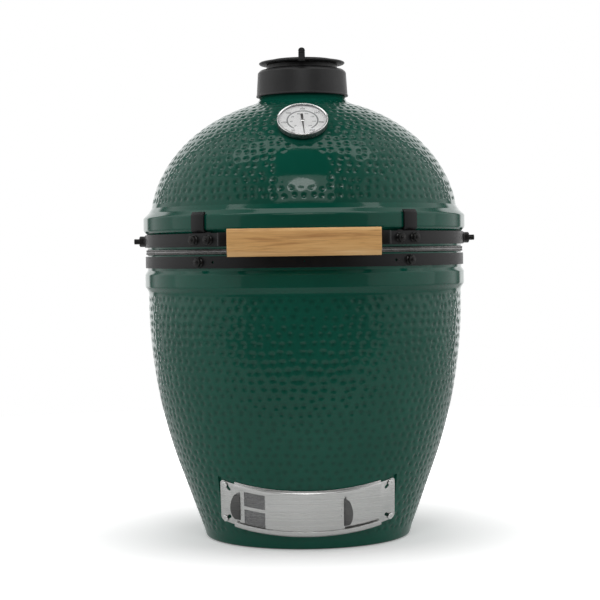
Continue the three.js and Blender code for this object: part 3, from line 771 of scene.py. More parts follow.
def pit_centres(outline, pitch, seed):
    """Dimple centres in staggered rows over a turned outline, a little irregular."""
    rng = random.Random(seed)
    row = pitch * 0.866
    lengths = np.cumsum([0] + [math.dist(a, b) for a, b in zip(outline, outline[1:])])
    rows = int(lengths[-1] / row)
    centres = []
    for i in range(rows):
        s = (i + 0.5) * lengths[-1] / rows
        r = float(np.interp(s, lengths, [p[0] for p in outline]))
        z = float(np.interp(s, lengths, [p[1] for p in outline]))
        k = min(max(int(np.searchsorted(lengths, s)), 1), len(outline) - 1)
        (r0, z0), (r1, z1) = outline[k - 1], outline[k]
        run = Vector((r1 - r0, z1 - z0)).normalized()
        count = round(2 * math.pi * r / pitch)
        drift = rng.random()
        for n in range(count):
            turn = (n + drift + rng.uniform(-0.2, 0.2)) / count * 2 * math.pi
            slip = rng.uniform(-0.2, 0.2) * row
            rr, zz = r + run.x * slip, z + run.y * slip
            size, depth = rng.uniform(0.86, 1.08), rng.uniform(0.8, 1.1)
            centres.append((rr * math.sin(turn), -rr * math.cos(turn), zz, size, depth))
    return centres


def row_rings(rows, edges):
    """The vertices ring by ring, where each ring starts, and how many vertices it holds."""
    verts, starts, counts = [], [], []
    for i, ((r, z), edge) in enumerate(zip(rows, edges)):
        count = 1 if r < 0.01 else max(12, round(2 * math.pi * r / edge))
        starts.append(len(verts))
        counts.append(count)
        if count == 1:
            verts.append((0, 0, z))
            continue
        turns = [(k + 0.5 * (i % 2)) / count * 2 * math.pi for k in range(count)]
        verts += [(r * math.sin(t), -r * math.cos(t), z) for t in turns]
    return np.array(verts), starts, counts


def bridged(starts, counts, closed):
    """Triangles between neighbouring rings that hold different numbers of vertices."""
    faces = []
    total = len(counts)
    for a in range(total if closed else total - 1):
        b = (a + 1) % total
        na, nb, sa, sb = counts[a], counts[b], starts[a], starts[b]
        pa, pb = 0.5 * (a % 2), 0.5 * (b % 2)
        i = j = 0
        ia, jb = (na if na > 1 else 0), (nb if nb > 1 else 0)
        while i < ia or j < jb:
            ta = (i + 1 + pa) / na if i < ia else 9.0
            tb = (j + 1 + pb) / nb if j < jb else 9.0
            if ta <= tb:
                faces.append((sa + i % na, sa + (i + 1) % na, sb + j % nb))
                i += 1
            else:
                faces.append((sa + i % na, sb + (j + 1) % nb, sb + j % nb))
                j += 1
    return faces


def dimpled(points, rows, rings, zone, keep, pitch, seed):
    """Pushes points in at the dimples. Returns how far into a dimple each one is, from 0 to 1."""
    first, last = zone
    centres = pit_centres(rows[first:last + 1], pitch, seed)
    tree = kdtree.KDTree(len(centres))
    for i, c in enumerate(centres):
        tree.insert(c[:3], i)
    tree.balance()
    pit = np.zeros(len(points), np.float32)
    for row in range(first, last + 1):
        before, after = rows[row - 1], rows[row + 1]
        run = Vector((after[0] - before[0], after[1] - before[1])).normalized()
        out = (run.y, -run.x)
        edge_fade = min(1.0, (row - first) / 3, (last - row) / 3)
        start, count = rings[row]
        for k in range(start, start + count):
            p = points[k]
            want = edge_fade * keep(p)
            if want <= 0:
                continue
            _, index, distance = tree.find(p)
            size, depth = centres[index][3:]
            t = distance / (PIT_REACH * pitch * size)
            if t >= 1:
                continue
            h = (1 - t * t) ** 2 * want
            pit[k] = h
            radius = math.hypot(p[0], p[1])
            push = -PIT_DEPTH * depth * h
            scale = (radius + out[0] * push) / radius
            points[k] = (p[0] * scale, p[1] * scale, p[2] + out[1] * push)
    return pit


def skin(name, rows, edges, zone, keep, pitch, seed):
    """A closed turned body whose rows hold as many vertices as their edge length asks for.

    rows: closed list of (radius, height); edges: edge length for each row.
    zone: first and last row of the dimpled part; keep(point) is 1 where dimples are wanted.
    """
    points, starts, counts = row_rings(rows, edges)
    faces = bridged(starts, counts, closed=rows[0][0] > 0.01)
    pit = dimpled(points, rows, list(zip(starts, counts)), zone, keep, pitch, seed)
    obj = raw_object(name, Form(points, faces))
    layer = obj.data.attributes.new("pit", "FLOAT", "POINT")
    layer.data.foreach_set("value", pit)
    return obj


def with_edges(spans):
    """Rows and edge lengths from (outline, step, edge) spans that follow each other."""
    rows, edges = [], []
    for outline, step, edge in spans:
        points = sampled(outline, step)
        if rows and math.dist(rows[-1], points[0]) < 1e-6:
            points = points[1:]
        rows += points
        edges += [edge] * len(points)
    return rows, edges


# The door turns about the tilted axis of its rails.
DOOR = JOINTS["vent_door_slide"]
DOOR_CENTRE = Vector(DOOR["pos_m"]) / MM
DOOR_TILT = math.degrees(math.atan2(-DOOR["axis"][1], DOOR["axis"][2]))
DOOR_FRAME = Matrix.Translation(DOOR_CENTRE) @ Matrix.Rotation(DOOR_TILT * RAD, 4, "X")
DOOR_SEAT = 209.6
FRAME_HALF, RAIL_HALF, EAR_HALF = 42.4, 33.8, 34.2  # degrees from the middle of the door
FRAME_HIGH, EAR_HIGH = 41.5, 37
DOOR_SCREWS = [(side * 39.5, level * 31) for side in (-1, 1) for level in (-1, 1)]


def in_door(form):
    return form.moved(DOOR_FRAME)


BAND_LOW, BAND_HIGH = box_mm("lower_band"), box_mm("upper_band")
RIM = box_mm("dome_shell")[1][0]
BASE_TOP = box_mm("base_shell")[1][2]
DOME_LOW, DOME_HIGH = box_mm("dome_shell")[0][2], box_mm("dome_shell")[1][2]
SEAT = RIM - 6.3
FINE = 3.36
DOME_FINE = 2.5


def base_ceramic():
    foot, swell_radius, swell_height, body = 160, 840, 405, RIM - 8
    swell = arc(body - swell_radius, swell_height, swell_radius, -20, 1.2, 24)
    cone = swell[0][0] - (swell[0][1] - 5) * math.tan(20 * RAD)
    flange = rounded([(body + 0.2, 414), (SEAT - 1.0, 420, 10), (RIM - 2, 427.4, 5), (RIM - 2, 448.3, 4.5),
                      (SEAT, 455.2, 2), (SEAT, BASE_TOP, 1.6), (SEAT - 20, BASE_TOP, 1.6),
                      (SEAT - 20, BASE_TOP - 8)], closed=False)
    wall = sampled([swell[-1], (body + 0.2, 414)], 3)
    inside = [(SEAT - 20, BASE_TOP - 8), (247.5, 405), (242, 300), (223, 200), (197, 118), (165, 33),
              (153, 25), (0, 25)]
    ground = [(0, 0), (foot, 0)]
    curl = rounded([(foot, 0), (cone - 0.5, 0.6, 4), (cone + 4, 16)], closed=False)
    body_rows = [curl[-1], *swell, *wall[1:]]
    spans = [(ground, 60, 14), (curl, 3, 6), (body_rows, FINE * 0.866, FINE), (flange, 2.6, 5.2),
             (inside, 24, 14)]
    rows, edges = with_edges(spans)
    first = next(i for i, r in enumerate(rows) if r[1] > 17)
    last = next(i for i, r in enumerate(rows) if r[1] > 413)
    back = DOOR_FRAME.inverted()

    def keep(p):
        local = back @ Vector(p)
        angle = abs(math.degrees(math.atan2(local.x, -local.y)))
        return 0.0 if (angle < FRAME_HALF + 2 and abs(local.z) < FRAME_HIGH + 2) else 1.0

    obj = skin("base_ceramic", rows, edges, (first, last), keep, BASE_PITCH, 11)
    half, high = FRAME_HALF + 0.7, FRAME_HIGH + 1
    seat = in_door(sector(DOOR_SEAT, DOOR_SEAT + 24, -half, half, -high, high, 1.0))
    hole = in_door(sector(150, DOOR_SEAT + 5, -14, 14, -25, 25, 1.0))
    boolean(obj, [seat, hole], "DIFFERENCE")
    mark_edges(obj, 50)
    return settle(obj, MAT["glaze"], "base", ["base_shell"])


GAUGE = JOINTS["gauge_pointer_turn"]
GAUGE_CENTRE = Vector(GAUGE["pos_m"]) / MM
GAUGE_AXIS = -Vector(GAUGE["axis"])  # out of the dial
GAUGE_TILT = math.degrees(math.atan2(-GAUGE_AXIS.y, GAUGE_AXIS.z))
GAUGE_FRAME = Matrix.Translation(GAUGE_CENTRE) @ Matrix.Rotation(GAUGE_TILT * RAD, 4, "X")


def in_gauge(form):
    return form.moved(GAUGE_FRAME)


def dome_ceramic():
    centre, radius, height, neck, bore = 530, RIM - 12, 216.6, 72, 50
    start = math.degrees(math.asin((560 - centre) / height))
    end = math.degrees(math.acos(85 / radius))

    def ellipse(across, up, low, high, steps):
        return [(x * across, centre + y * up) for x, y in arc(0, 0, 1, low, high, steps)]

    shoulder = ellipse(radius, height, start, end, 60)
    fillet_top = centre + height * math.sin(end * RAD) + 18 * 0.96
    fillet = arc(neck + 18, fillet_top, 18, 230, 180, 8)
    rim = rounded([(RIM - 30, DOME_LOW), (SEAT, DOME_LOW, 1.5), (SEAT, 515.6, 1.0), (RIM, 521.2, 5),
                   (RIM, 543.2, 4.5), (RIM - 9, 552, 6), shoulder[0]], closed=False)
    top = rounded([(neck, fillet_top), (neck, DOME_HIGH, 2), (bore, DOME_HIGH, 2), (bore, DOME_HIGH - 40)],
                  closed=False)
    inner = radius - 18
    inside = ellipse(inner, height - 18, math.degrees(math.acos(bore / inner)), 0, 14)
    spans = [(rim, 2.6, 5.2), (shoulder, DOME_FINE * 0.866, DOME_FINE), ([shoulder[-1], *fillet], 2.4, 3.2),
             (top, 5, 5), ([top[-1], *inside, (inner, DOME_LOW), (RIM - 30, DOME_LOW)], 22, 13)]
    rows, edges = with_edges(spans)
    first = next(i for i, r in enumerate(rows) if r[1] > 563)
    last = next(i for i, r in enumerate(rows) if r[1] > 735.5 and r[0] < 90)
    up = GAUGE_FRAME.inverted()

    def keep(p):
        local = up @ Vector(p)
        from_gauge = math.hypot(local.x, local.y) if p[1] < 0 else 999
        plaque = math.hypot(p[0] / 44, (p[2] - 618) / 34) if p[1] < 0 else 9
        return min(1.0, max(0.0, (from_gauge - 43) / 8), max(0.0, (plaque - 0.94) / 0.16))

    obj = skin("dome_ceramic", rows[:-1], edges[:-1], (first, last), keep, DOME_PITCH, 23)
    hole = in_gauge(rod(5, -60, 20, 20))
    boolean(obj, [hole], "DIFFERENCE")
    mark_edges(obj, 50)
    return settle(obj, MAT["glaze"], "dome", ["dome_shell"])


# ------------------------------------------------------------------ bands, gaskets and bolts
STRAP_BOLTS = (33, 39)
LOWER_BOLT = 38.2
HINGE_BOLT = 7
UPPER_MIDDLE = (BAND_HIGH[0][2] + BAND_HIGH[1][2]) / 2
LOWER_MIDDLE = (BAND_LOW[0][2] + BAND_LOW[1][2]) / 2
BAND_OUTER = BAND_HIGH[1][0]
BAND_INNER = BAND_OUTER - 2.5
STRAP_INNER = BAND_OUTER + 0.4
STRAP_OUTER = STRAP_INNER + 2.5
FOOT_INNER = STRAP_OUTER + 0.8


def ring_form(inner, outer, low, high, edge, segments):
    corners = [(inner, low, edge), (outer, low, edge), (outer, high, edge), (inner, high, edge)]
    return lathe(rounded(corners), segments)


def band(name, node, holes):
    low, high = box_mm(node)
    form = ring_form(BAND_INNER, BAND_OUTER, low[2], high[2], 0.7, 240)
    middle = (low[2] + high[2]) / 2
    cuts = [outwards(rod(radius, -6, 6, 16), angle, BAND_OUTER - 1.2, middle) for angle, radius in holes]
    body = "dome" if node == "upper_band" else "base"
    piece(name, form, MAT["band"], body, [node], cuts)


def add_bands():
    def both(angle, radius):
        return [(angle, radius), (-angle, radius)]

    rear = both(180 - HINGE_BOLT, 3.4)
    band("lower_band_ring", "lower_band", [*rear, *both(LOWER_BOLT, 3.4), *both(32.4, 2.3), (0, 1.4)])
    band("upper_band_ring", "upper_band", [*rear, *both(90, 5.2), *both(33, 3.4), *both(39, 3.4)])


def add_felt(name, node, body, seed):
    """A felt ring: a soft rectangular section whose outside is uneven."""
    low, high = box_mm(node)
    outer, bottom, top = high[0], low[2], high[2]
    section = rounded([(outer - 20, bottom, 0.8), (outer - 0.2, bottom, 1.2),
                       (outer + 0.1, (bottom + top) / 2), (outer - 0.2, top, 1.2), (outer - 20, top, 0.8)])
    form = lathe(section, 420)
    rng = random.Random(seed)
    shift = Vector((rng.uniform(0, 50), 0, 0))
    for i, p in enumerate(form.verts):
        r = math.hypot(p[0], p[1])
        if r < outer - 3:
            continue
        wave = noise.noise(Vector(p) * 0.09 + shift) * 0.8 + noise.noise(Vector(p) * 0.45 + shift) * 0.45
        form.verts[i][:2] *= (r + min(0.8, wave)) / r
    piece(name, form, MAT["felt"], body, [node], sharp=60)


def flange_nut(flange, across, height, bolt, shank, thread=1.0):
    """A hexagon flange nut on the rounded end of its threaded bolt, along +Z from the seat at zero."""
    inner = bolt * 0.6
    skirt = lathe([(inner, 0), (flange, 0), (flange, 0.9), (flange - 0.9, 1.7), (across / 2, 2.6),
                   (inner, 2.6)], 36)
    corner = across / math.sqrt(3)
    dome = lathe([(0, 0.2), (corner + 3, 0.2), (corner + 3, height - 2.2), (corner, height - 0.9),
                  (across / 2 - 0.5, height), (0, height)], 36, closed=False)
    return skirt, hexagon(corner, 1, height), dome, threaded(bolt, -shank, height + 2.5, thread)


def threaded(radius, low, high, pitch):
    """A bolt shank with thread crests as rings and a rounded end."""
    outline = [(0, low), (radius - 0.3, low)]
    z = low + 0.5
    while z < high - 1.2:
        outline += [(radius - 0.35, z), (radius, z + pitch * 0.5)]
        z += pitch
    outline += [(radius - 0.4, high - 1.0), (radius - 1.1, high - 0.2), (0, high)]
    return lathe(outline, 20, closed=False)


def nut_mesh(flange, across, height, bolt, shank):
    skirt, body, dome, shaft = flange_nut(flange, across, height, bolt, shank)
    obj = raw_object("nut_master", body)
    boolean(obj, [dome], "INTERSECT")
    boolean(obj, [skirt, shaft], "UNION")
    bevelled(obj, 0.25, 1, 40)
    mark_edges(obj, 35)
    mesh = obj.data
    bpy.data.objects.remove(obj)
    return mesh


def add_nut(name, mesh, node, body, angle, radius, height, turn=0.0):
    """A copy of a nut, pointing outwards at an angle from the front."""
    obj = bpy.data.objects.new(name, mesh.copy())
    bpy.context.scene.collection.objects.link(obj)
    matrix = (Matrix.Rotation(angle * RAD, 4, "Z") @ Matrix.Translation((0, -radius * MM, height * MM))
              @ Matrix.Rotation(90 * RAD, 4, "X") @ Matrix.Rotation(turn * RAD, 4, "Z"))
    obj.data.transform(matrix)
    return settle(obj, MAT["bolt"], body, [node])


def add_nuts():
    strap = nut_mesh(8.5, 13, 7, 3, FOOT_INNER + 3.5 - BAND_INNER - 0.2)
    lower = nut_mesh(8.5, 13, 7, 3, BAND_OUTER + 0.4 - BAND_INNER - 0.2)
    rear = nut_mesh(8.5, 13, 7, 3, STRAP_OUTER + 0.5 - BAND_INNER - 0.2)
    for side, sign in (("left", -1), ("right", 1)):
        for i, angle in enumerate(STRAP_BOLTS):
            add_nut(f"handle_nut_{side}_{i + 1}", strap, f"handle_bolt_{side}_{i + 1}", "dome", sign * angle,
                    FOOT_INNER + 3.5, UPPER_MIDDLE, 17 * i + 11 * sign)
        add_nut(f"lower_band_nut_{side}", lower, f"lower_band_bolt_{side}", "base", sign * LOWER_BOLT,
                BAND_OUTER + 0.4, LOWER_MIDDLE, 8 * sign)
        angle = 180 - sign * HINGE_BOLT
        for body, middle, turn in (("base", LOWER_MIDDLE, 5), ("dome", UPPER_MIDDLE, 21)):
            add_nut(f"hinge_{body}_nut_{side}", rear, f"hinge_{body}_bolt_{side}", body, angle,
                    STRAP_OUTER + 0.5, middle, turn)


def add_side_studs():
    for side, angle in (("left", -90), ("right", 90)):
        stud = outwards(threaded(4.7, 0, 22.8, 1.5), angle, BAND_INNER + 0.2, UPPER_MIDDLE)
        piece(f"side_stud_bolt_{side}", stud, MAT["bolt"], "dome",
              [f"side_stud_{side}"], sharp=50)
        corner = 16 / math.sqrt(3)
        dome = lathe([(0, 0.2), (14, 0.2), (14, 7.5), (corner, 9.6), (7.4, 11), (0, 11)], 36, closed=False)
        skirt = lathe([(0, 0), (10.4, 0), (10.4, 1.0), (9.6, 2.0), (8, 3.4), (0, 3.4)], 36, closed=False)
        obj = raw_object(f"side_nut_hex_{side}", hexagon(corner, 1, 11, 30))
        boolean(obj, [dome], "INTERSECT")
        boolean(obj, [skirt], "UNION")
        boolean(obj, [rod(5.1, -1, 12, 24)], "DIFFERENCE")
        obj.data.transform(Matrix.Rotation(angle * RAD, 4, "Z")
                           @ Matrix.Translation((0, -(BAND_OUTER + 0.3) * MM, UPPER_MIDDLE * MM))
                           @ Matrix.Rotation(90 * RAD, 4, "X"))
        bevelled(obj, 0.3, 1, 40)
        mark_edges(obj, 35)
        settle(obj, MAT["bolt"], "dome", [f"side_nut_{side}"])


# ------------------------------------------------------------------ handle
GRIP = box_mm("handle_grip")


def add_grip():
    (left, front, low), (right, back, high) = GRIP
    section = rounded([(back, low, 2), (back, high, 2), (front + 3.6, high, 1.2), (front, high - 4.2, 1.6),
                       (front, low + 13.5, 2.5), (front + 0.9, low + 8.4, 1.2), (front + 9, low, 2)])
    form = sideways(section[::-1], left, right)
    obj = raw_object("wooden_grip", form)
    bevelled(obj, 0.9, 3, 60)
    mark_edges(obj, 40)
    settle(obj, MAT["wood"], "dome", ["handle_grip"])


def add_clip(side, sign):
    """The clip that hooks over the dome's rim."""
    low, high = BAND_HIGH[0][2], BAND_HIGH[1][2]
    middle = STRAP_INNER + 1.25
    plate = sector(STRAP_INNER, STRAP_OUTER, 30.6, 41.4, low + 0.4, high, 1.0)
    hook = rounded([(middle, low + 6), (middle, high + 0.2, 3), (RIM + 2.4, 521, 3), (RIM + 2.4, 544, 3),
                    (RIM - 1.6, 548.5)], closed=False)
    finger = sideways([(-r, z) for r, z in strip(hook, 2.5)], -13, 13)
    finger = finger.turned(37.5, "Z")
    corner = sector(STRAP_INNER, STRAP_OUTER, 32.6, 35.2, high - 3, high + 1.6, 1.0)
    cuts = [outwards(rod(3.4, -6, 6, 16), angle, middle, UPPER_MIDDLE) for angle in STRAP_BOLTS]
    piece(f"rim_clip_{side}", sided([plate, finger, corner], sign), MAT["band"], "dome",
          [f"dome_clip_{side}"], sided(cuts, sign), bevel=0.5)


def add_bracket(side, sign):
    """The arm that carries one end of the grip, and the screw that holds the grip to it."""
    low, high = BAND_HIGH[0][2], BAND_HIGH[1][2]
    foot = FOOT_INNER + 1.5
    flange_y = GRIP[1][1] + 0.3 + 1.5
    path = [around(foot, 41.4 - 1.0 * i) for i in range(12)]
    path += [(132.5, -math.sqrt(foot ** 2 - 132.5 ** 2) - 1.5, 2), (132.5, flange_y, 3.5), (98, flange_y)]
    path = rounded(path, closed=False)
    bar = raised(strip(path, 3), low + 0.4, high)
    holes = [outwards(rod(3.4, -6, 6, 16), angle, foot, UPPER_MIDDLE) for angle in STRAP_BOLTS]
    holes.append(rod(2.6, -6, 6, 16).turned(90, "X").at(108, flange_y, UPPER_MIDDLE))
    piece(f"handle_arm_{side}", sided([bar], sign), MAT["band"], "dome",
          [f"handle_bracket_{side}"], sided(holes, sign), bevel=0.5)
    head = lathe([(0, -3.2), (3.6, -3.2), (4.8, -2.0), (5.0, -0.4), (4.9, 0), (2.2, 0), (2.2, 16), (0, 17)],
                 28, closed=False)
    cross = [block(1.1, 5.4, 3).at(0, 0, -3.2), block(5.4, 1.1, 3).at(0, 0, -3.2)]
    seat = GRIP[1][1] + 0.3 + 3 + 0.3
    shift = Matrix.Translation((sign * 108, seat, UPPER_MIDDLE)) @ Matrix.Rotation(90 * RAD, 4, "X")
    piece(f"grip_screw_{side}", head.moved(shift), MAT["bolt"], "dome",
          [f"handle_screw_{side}"],
          [c.moved(shift) for c in cross])


# ------------------------------------------------------------------ rear hinge
HINGE_POS = Vector(JOINTS["dome_hinge"]["pos_m"]) / MM


def hinge_plate(name, node, body, half, low, high, ears, bore, outline):
    plate = sector(STRAP_INNER, STRAP_OUTER, 180 - half, 180 + half, low, high, 1.0)
    leaves = [sideways(outline, *span) for span in (ears, (-ears[1], -ears[0]))]
    middle = (low + high) / 2
    cuts = [outwards(rod(3.4, -6, 6, 16), 180 + s * HINGE_BOLT, STRAP_INNER + 1, middle) for s in (-1, 1)]
    cuts.append(rod(bore, -80, 80, 32).turned(90, "Y").at(*HINGE_POS))
    piece(name, [plate, *leaves], MAT["band"], body, [node], cuts, bevel=0.4)


def add_hinge():
    y, z = HINGE_POS.y, HINGE_POS.z
    low, high = BAND_LOW[0][2] + 0.2, BAND_LOW[1][2]
    base_ear = [(267, low), (298, low), *arc(y, z, 11, -55, 150, 20), (282, high), (267, high)]
    hinge_plate("hinge_plate_base", "hinge_base_bracket", "base", 12, low, high, (54, 57), 5.5, base_ear)
    low, high = BAND_HIGH[0][2] + 0.4, BAND_HIGH[1][2]
    dome_ear = [(268, low), (286, low), *arc(y, z, 11, -165, 60, 22), (288, high), (268, high)]
    hinge_plate("hinge_plate_dome", "hinge_dome_bracket", "dome", 10.4, low, high, (47, 50), 5.7, dome_ear)
    reach = 57.3
    shaft = lathe([(0, -reach - 1), (5, -reach - 1), (5, reach + 7), *[
        (5 - 0.4 * (i % 2), reach + 7 + i * 0.4) for i in range(1, 7)], (4, reach + 10), (0, reach + 10)], 32,
        closed=False)
    head = hexagon(9, -reach - 6, -reach)
    turn = Matrix.Translation((0, y, z)) @ Matrix.Rotation(90 * RAD, 4, "Y")
    piece("hinge_axle", [shaft.moved(turn), head.moved(turn)], MAT["bolt"], "base",
          ["hinge_pin"], bevel=0.3)
    nut = hexagon(9, reach, reach + 7)
    piece("hinge_axle_nut", nut.moved(turn), MAT["bolt"], "base", ["hinge_pin_nut"],
          [rod(5.4, 0, 90, 24).moved(turn)], bevel=0.4)
    for side, sign in (("left", -1), ("right", 1)):
        add_hinge_spring(side, sign)


def add_hinge_spring(side, sign):
    """A torsion spring: a coil about the axle, with one leg on the base plate and one on the dome plate."""
    wire, coil = 1.9, 10.0
    turns, steps = 7.25, 28
    start, end = 42.0, 9.0
    y, z = HINGE_POS.y, HINGE_POS.z
    path = [(start + 0.2, 277.5, z - 15), (start + 0.1, 284.0, z - 13)]
    first = -115.0
    for i in range(int(turns * steps) + 1):
        a = (first + 360 * i / steps) * RAD
        x = start + (end - start) * i / (turns * steps)
        path.append((x, y + coil * math.cos(a), z + coil * math.sin(a)))
    path.append((end - 0.2, 286.0, z + 14.5))
    path.append((end - 0.3, 278.0, z + 15.5))
    form = tube(path, wire, 10)
    if sign < 0:
        form = mirror_form(form)
    obj = raw_object(f"torsion_spring_{side}", form)
    mark_edges(obj, 60)
    settle(obj, MAT["spring"], None, [f"hinge_spring_{side}"])
    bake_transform(obj)


# ------------------------------------------------------------------ cap
PIVOT = [c / MM for c in JOINTS["cap_plate_swing"]["pos_m"]]
COLLAR = box_mm("cap_collar")
PLATE = box_mm("cap_plate")
WHEEL = box_mm("damper_wheel")


def petals(first, low, high):
    return [sector(17, 45, first + i * 60 - 12, first + i * 60 + 12, low, high, 1.5) for i in range(6)]


def add_collar():
    bottom, rim = COLLAR[0][2], COLLAR[1][2]
    outer = COLLAR[1][0]
    section = rounded([(73.6, bottom, 0.5), (outer, bottom, 0.6), (outer, bottom + 2.0, 0.8),
                       (outer - 0.9, bottom + 3.6, 1.2), (75.4, 789.2, 4), (71, 793.6, 3),
                       (62.4, 794.8, 1.5), (60.5, 796, 0.8), (60.5, rim, 0.7), (50, rim, 1.0),
                       (50, 789.6, 1.0), (73.6, 789.6, 1.0)])
    lug = rod(9, 792, rim, 32).at(0, PIVOT[1], 0)
    bore = rod(3.4, 796, rim + 5, 20).at(0, PIVOT[1], 0)
    piece("cap_body", [lathe(section, 160), lug], MAT["cap"], "cap", ["cap_collar"], [bore])
    low, high = box_mm("cap_gasket")
    felt = ring_form(51, high[0], low[2], high[2], 1.0, 120)
    piece("cap_felt", felt, MAT["felt"], "cap", ["cap_gasket"])


def add_vent_plate():
    low, high = PLATE[0][2], PLATE[1][2]
    radius = PLATE[1][0]
    edge = rounded([(radius - 2, low), (radius, low + 1.6, 1.2), (radius, high - 1.4, 1.2),
                    (radius - 2.2, high)], False)
    disc = lathe([(0, low + 0.6), (46, low + 0.6), (50, low), *edge, (57.5, high), (56.5, high - 0.7),
                  (0, high - 0.7)], 160, closed=False)
    bore = rod(3.5, low - 5, high + 5, 20)
    cuts = [*petals(0, low - 1, high + 1), bore.copy().at(0, PIVOT[1], 0), bore]
    piece("vent_plate", disc, MAT["cap"], "cap_lid", ["cap_plate"], cuts, bevel=0.35)


def add_damper():
    """The wheel whose petals shut the plate's, and the rivet it turns on."""
    low, high = WHEEL[0][2], WHEEL[0][2] + 3
    wheel = lathe(rounded([(0, low), (54, low, 0.6), (54, high, 0.8), (0, high)], False), 120, closed=False)
    knob = rod(5, high - 1, WHEEL[1][2], 28, 1.0).at(0, -49, 0)
    piece("vent_wheel", [wheel, knob], MAT["cap"], "damper", ["damper_wheel"],
          [*petals(30, low - 1, high + 1), rod(3.5, low - 5, high + 5, 20)], bevel=0.35)
    rivet_low, rivet_high = box_mm("damper_rivet")
    shank = rod(3, rivet_low[2], high + 1, 20)
    head = lathe([(0, high + 0.3), (6.5, high + 0.3), (6.2, high + 1.3), (4.6, high + 2.1),
                  (0, rivet_high[2])], 28, closed=False)
    piece("vent_rivet", [shank, head], MAT["bright"], "cap_lid", ["damper_rivet"])


def add_pivot_bolt():
    low, high = box_mm("cap_pivot_bolt")
    shank = rod(3, low[2], high[2] - 3, 20)
    head = hexagon(7, PLATE[1][2] + 0.3, high[2])
    piece("pivot_bolt", [form.at(0, PIVOT[1], 0) for form in (shank, head)], MAT["bright"], "cap",
          ["cap_pivot_bolt"], bevel=0.5)


def add_finger_tab():
    """A hook over the plate's edge with an upright rounded blade, ribbed across."""
    high = box_mm("finger_tab")[1][2]
    edge = -PLATE[1][0]
    plate_low, plate_high = PLATE[0][2], PLATE[1][2]
    hook = [(edge - 0.3, plate_low - 1.6), (edge - 0.3, plate_high + 0.3), (edge + 8, plate_high + 0.3),
            (edge + 8, plate_high + 3), (edge - 0.5, plate_high + 4.5), (edge - 0.5, plate_high + 6),
            (edge - 6.2, plate_high + 6), (edge - 6.2, plate_low - 1.6)]
    hook = sideways(hook, -5.5, 5.5)
    half = 5.5
    sides = []
    z = plate_low - 1.0
    while z < high - 5:
        sides += [(half - 0.65, z), (half, z + 0.9), (half, z + 1.9)]
        z += 2.9
    crown = [(half * math.cos(a * RAD), high - 4.6 + 4.6 * math.sin(a * RAD)) for a in range(0, 91, 15)]
    right_side = sides + crown
    outline = right_side + [(-x, z) for x, z in reversed(right_side[:-1])]
    upright = Matrix(((1, 0, 0, 0), (0, 0, -1, edge - 0.4), (0, 1, 0, 0), (0, 0, 0, 1)))
    blade = raised(outline, 0, 6).moved(upright)
    ribs = []
    z = plate_high + 7
    while z < high - 4:
        ribs.append(rod(0.7, -8, 8, 12).turned(90, "Y").at(0, edge - 6.5, z))
        z += 2.9
    piece("finger_pull", [blade, hook], MAT["silicone"], "cap_lid", ["finger_tab"], ribs,
          bevel=0.5)


# ------------------------------------------------------------------ thermometer
def digits(text, size, radius, angle, height):
    """Flat figures on the dial, upright about the point at an angle from the top, clockwise."""
    curve = bpy.data.curves.new("figures", "FONT")
    curve.body = text
    curve.size = size
    curve.align_x, curve.align_y = "CENTER", "CENTER"
    curve.extrude = 0.03
    holder = bpy.data.objects.new("figures", curve)
    bpy.context.scene.collection.objects.link(holder)
    graph = bpy.context.evaluated_depsgraph_get()
    mesh = bpy.data.meshes.new_from_object(holder.evaluated_get(graph))
    co = np.array([v.co for v in mesh.vertices], float)
    faces = [tuple(p.vertices) for p in mesh.polygons]
    bpy.data.objects.remove(holder)
    bpy.data.meshes.remove(mesh)
    bpy.data.curves.remove(curve)
    x, y = radius * math.sin(angle * RAD), radius * math.cos(angle * RAD)
    return Form(co, faces).at(x, y, height)


DIAL_TOP = 9.4  # height of the dial's face along the thermometer's axis
NEEDLE_TURN = 85.3  # degrees from the dial's right, clockwise


def dial_marks():
    """The tick marks and the numbers of both scales, as one form."""
    marks = []
    for i in range(31):
        width, long = (0.6, 2.6) if i % 5 == 0 else (0.34, 1.3)
        mark = block(width, long, 0.06).at(0, 35.4 - long / 2, DIAL_TOP + 0.06)
        marks.append(mark.turned(150 - 10 * i, "Z"))
    for i in range(7):
        marks.append(digits(str(50 + 50 * i), 6.0, 30.2, -150 + 50 * i, DIAL_TOP + 0.05))
    for i in range(8):
        marks.append(digits(str(20 + 20 * i), 4.2, 18.4, -140 + 40 * i, DIAL_TOP + 0.05))
    return marks[0].joined(*marks[1:])


def add_dial():
    dial = rod(38.4, DIAL_TOP - 0.6, DIAL_TOP, 120)
    bore = in_gauge(rod(2.4, 4, 12, 20))
    piece("gauge_face", in_gauge(dial), MAT["dial"], "dome", ["gauge_dial"], [bore])
    line = [around(24.6, 180 - a * 1.5) for a in range(-97, 98)][::-1]
    scale = raised(strip(line, 2.3), DIAL_TOP + 0.02, DIAL_TOP + 0.09)
    settle(raw_object("gauge_scale", in_gauge(scale)), MAT["grey_ink"], "dome")
    settle(raw_object("gauge_figures", in_gauge(dial_marks())), MAT["ink"], "dome")


def add_needle():
    needle = [(-17, -2.1), (-3, -1.6), (4, -1.2), (35.4, -0.35),
              (35.4, 0.35), (4, 1.2), (-3, 1.6), (-17, 2.1)]
    arm = raised(needle, 9.7, 10.1).turned(-NEEDLE_TURN, "Z")
    hub = lathe([(0, 9.65), (2.4, 9.65), (3.2, 9.8), (3.2, 10.2), (2.4, 10.45), (0, 10.5)], 32, closed=False)
    piece("gauge_needle", in_gauge(arm), MAT["pointer"], "pointer", ["gauge_pointer"], bevel=0.1)
    piece("gauge_hub", in_gauge(hub), MAT["bright"], "pointer")


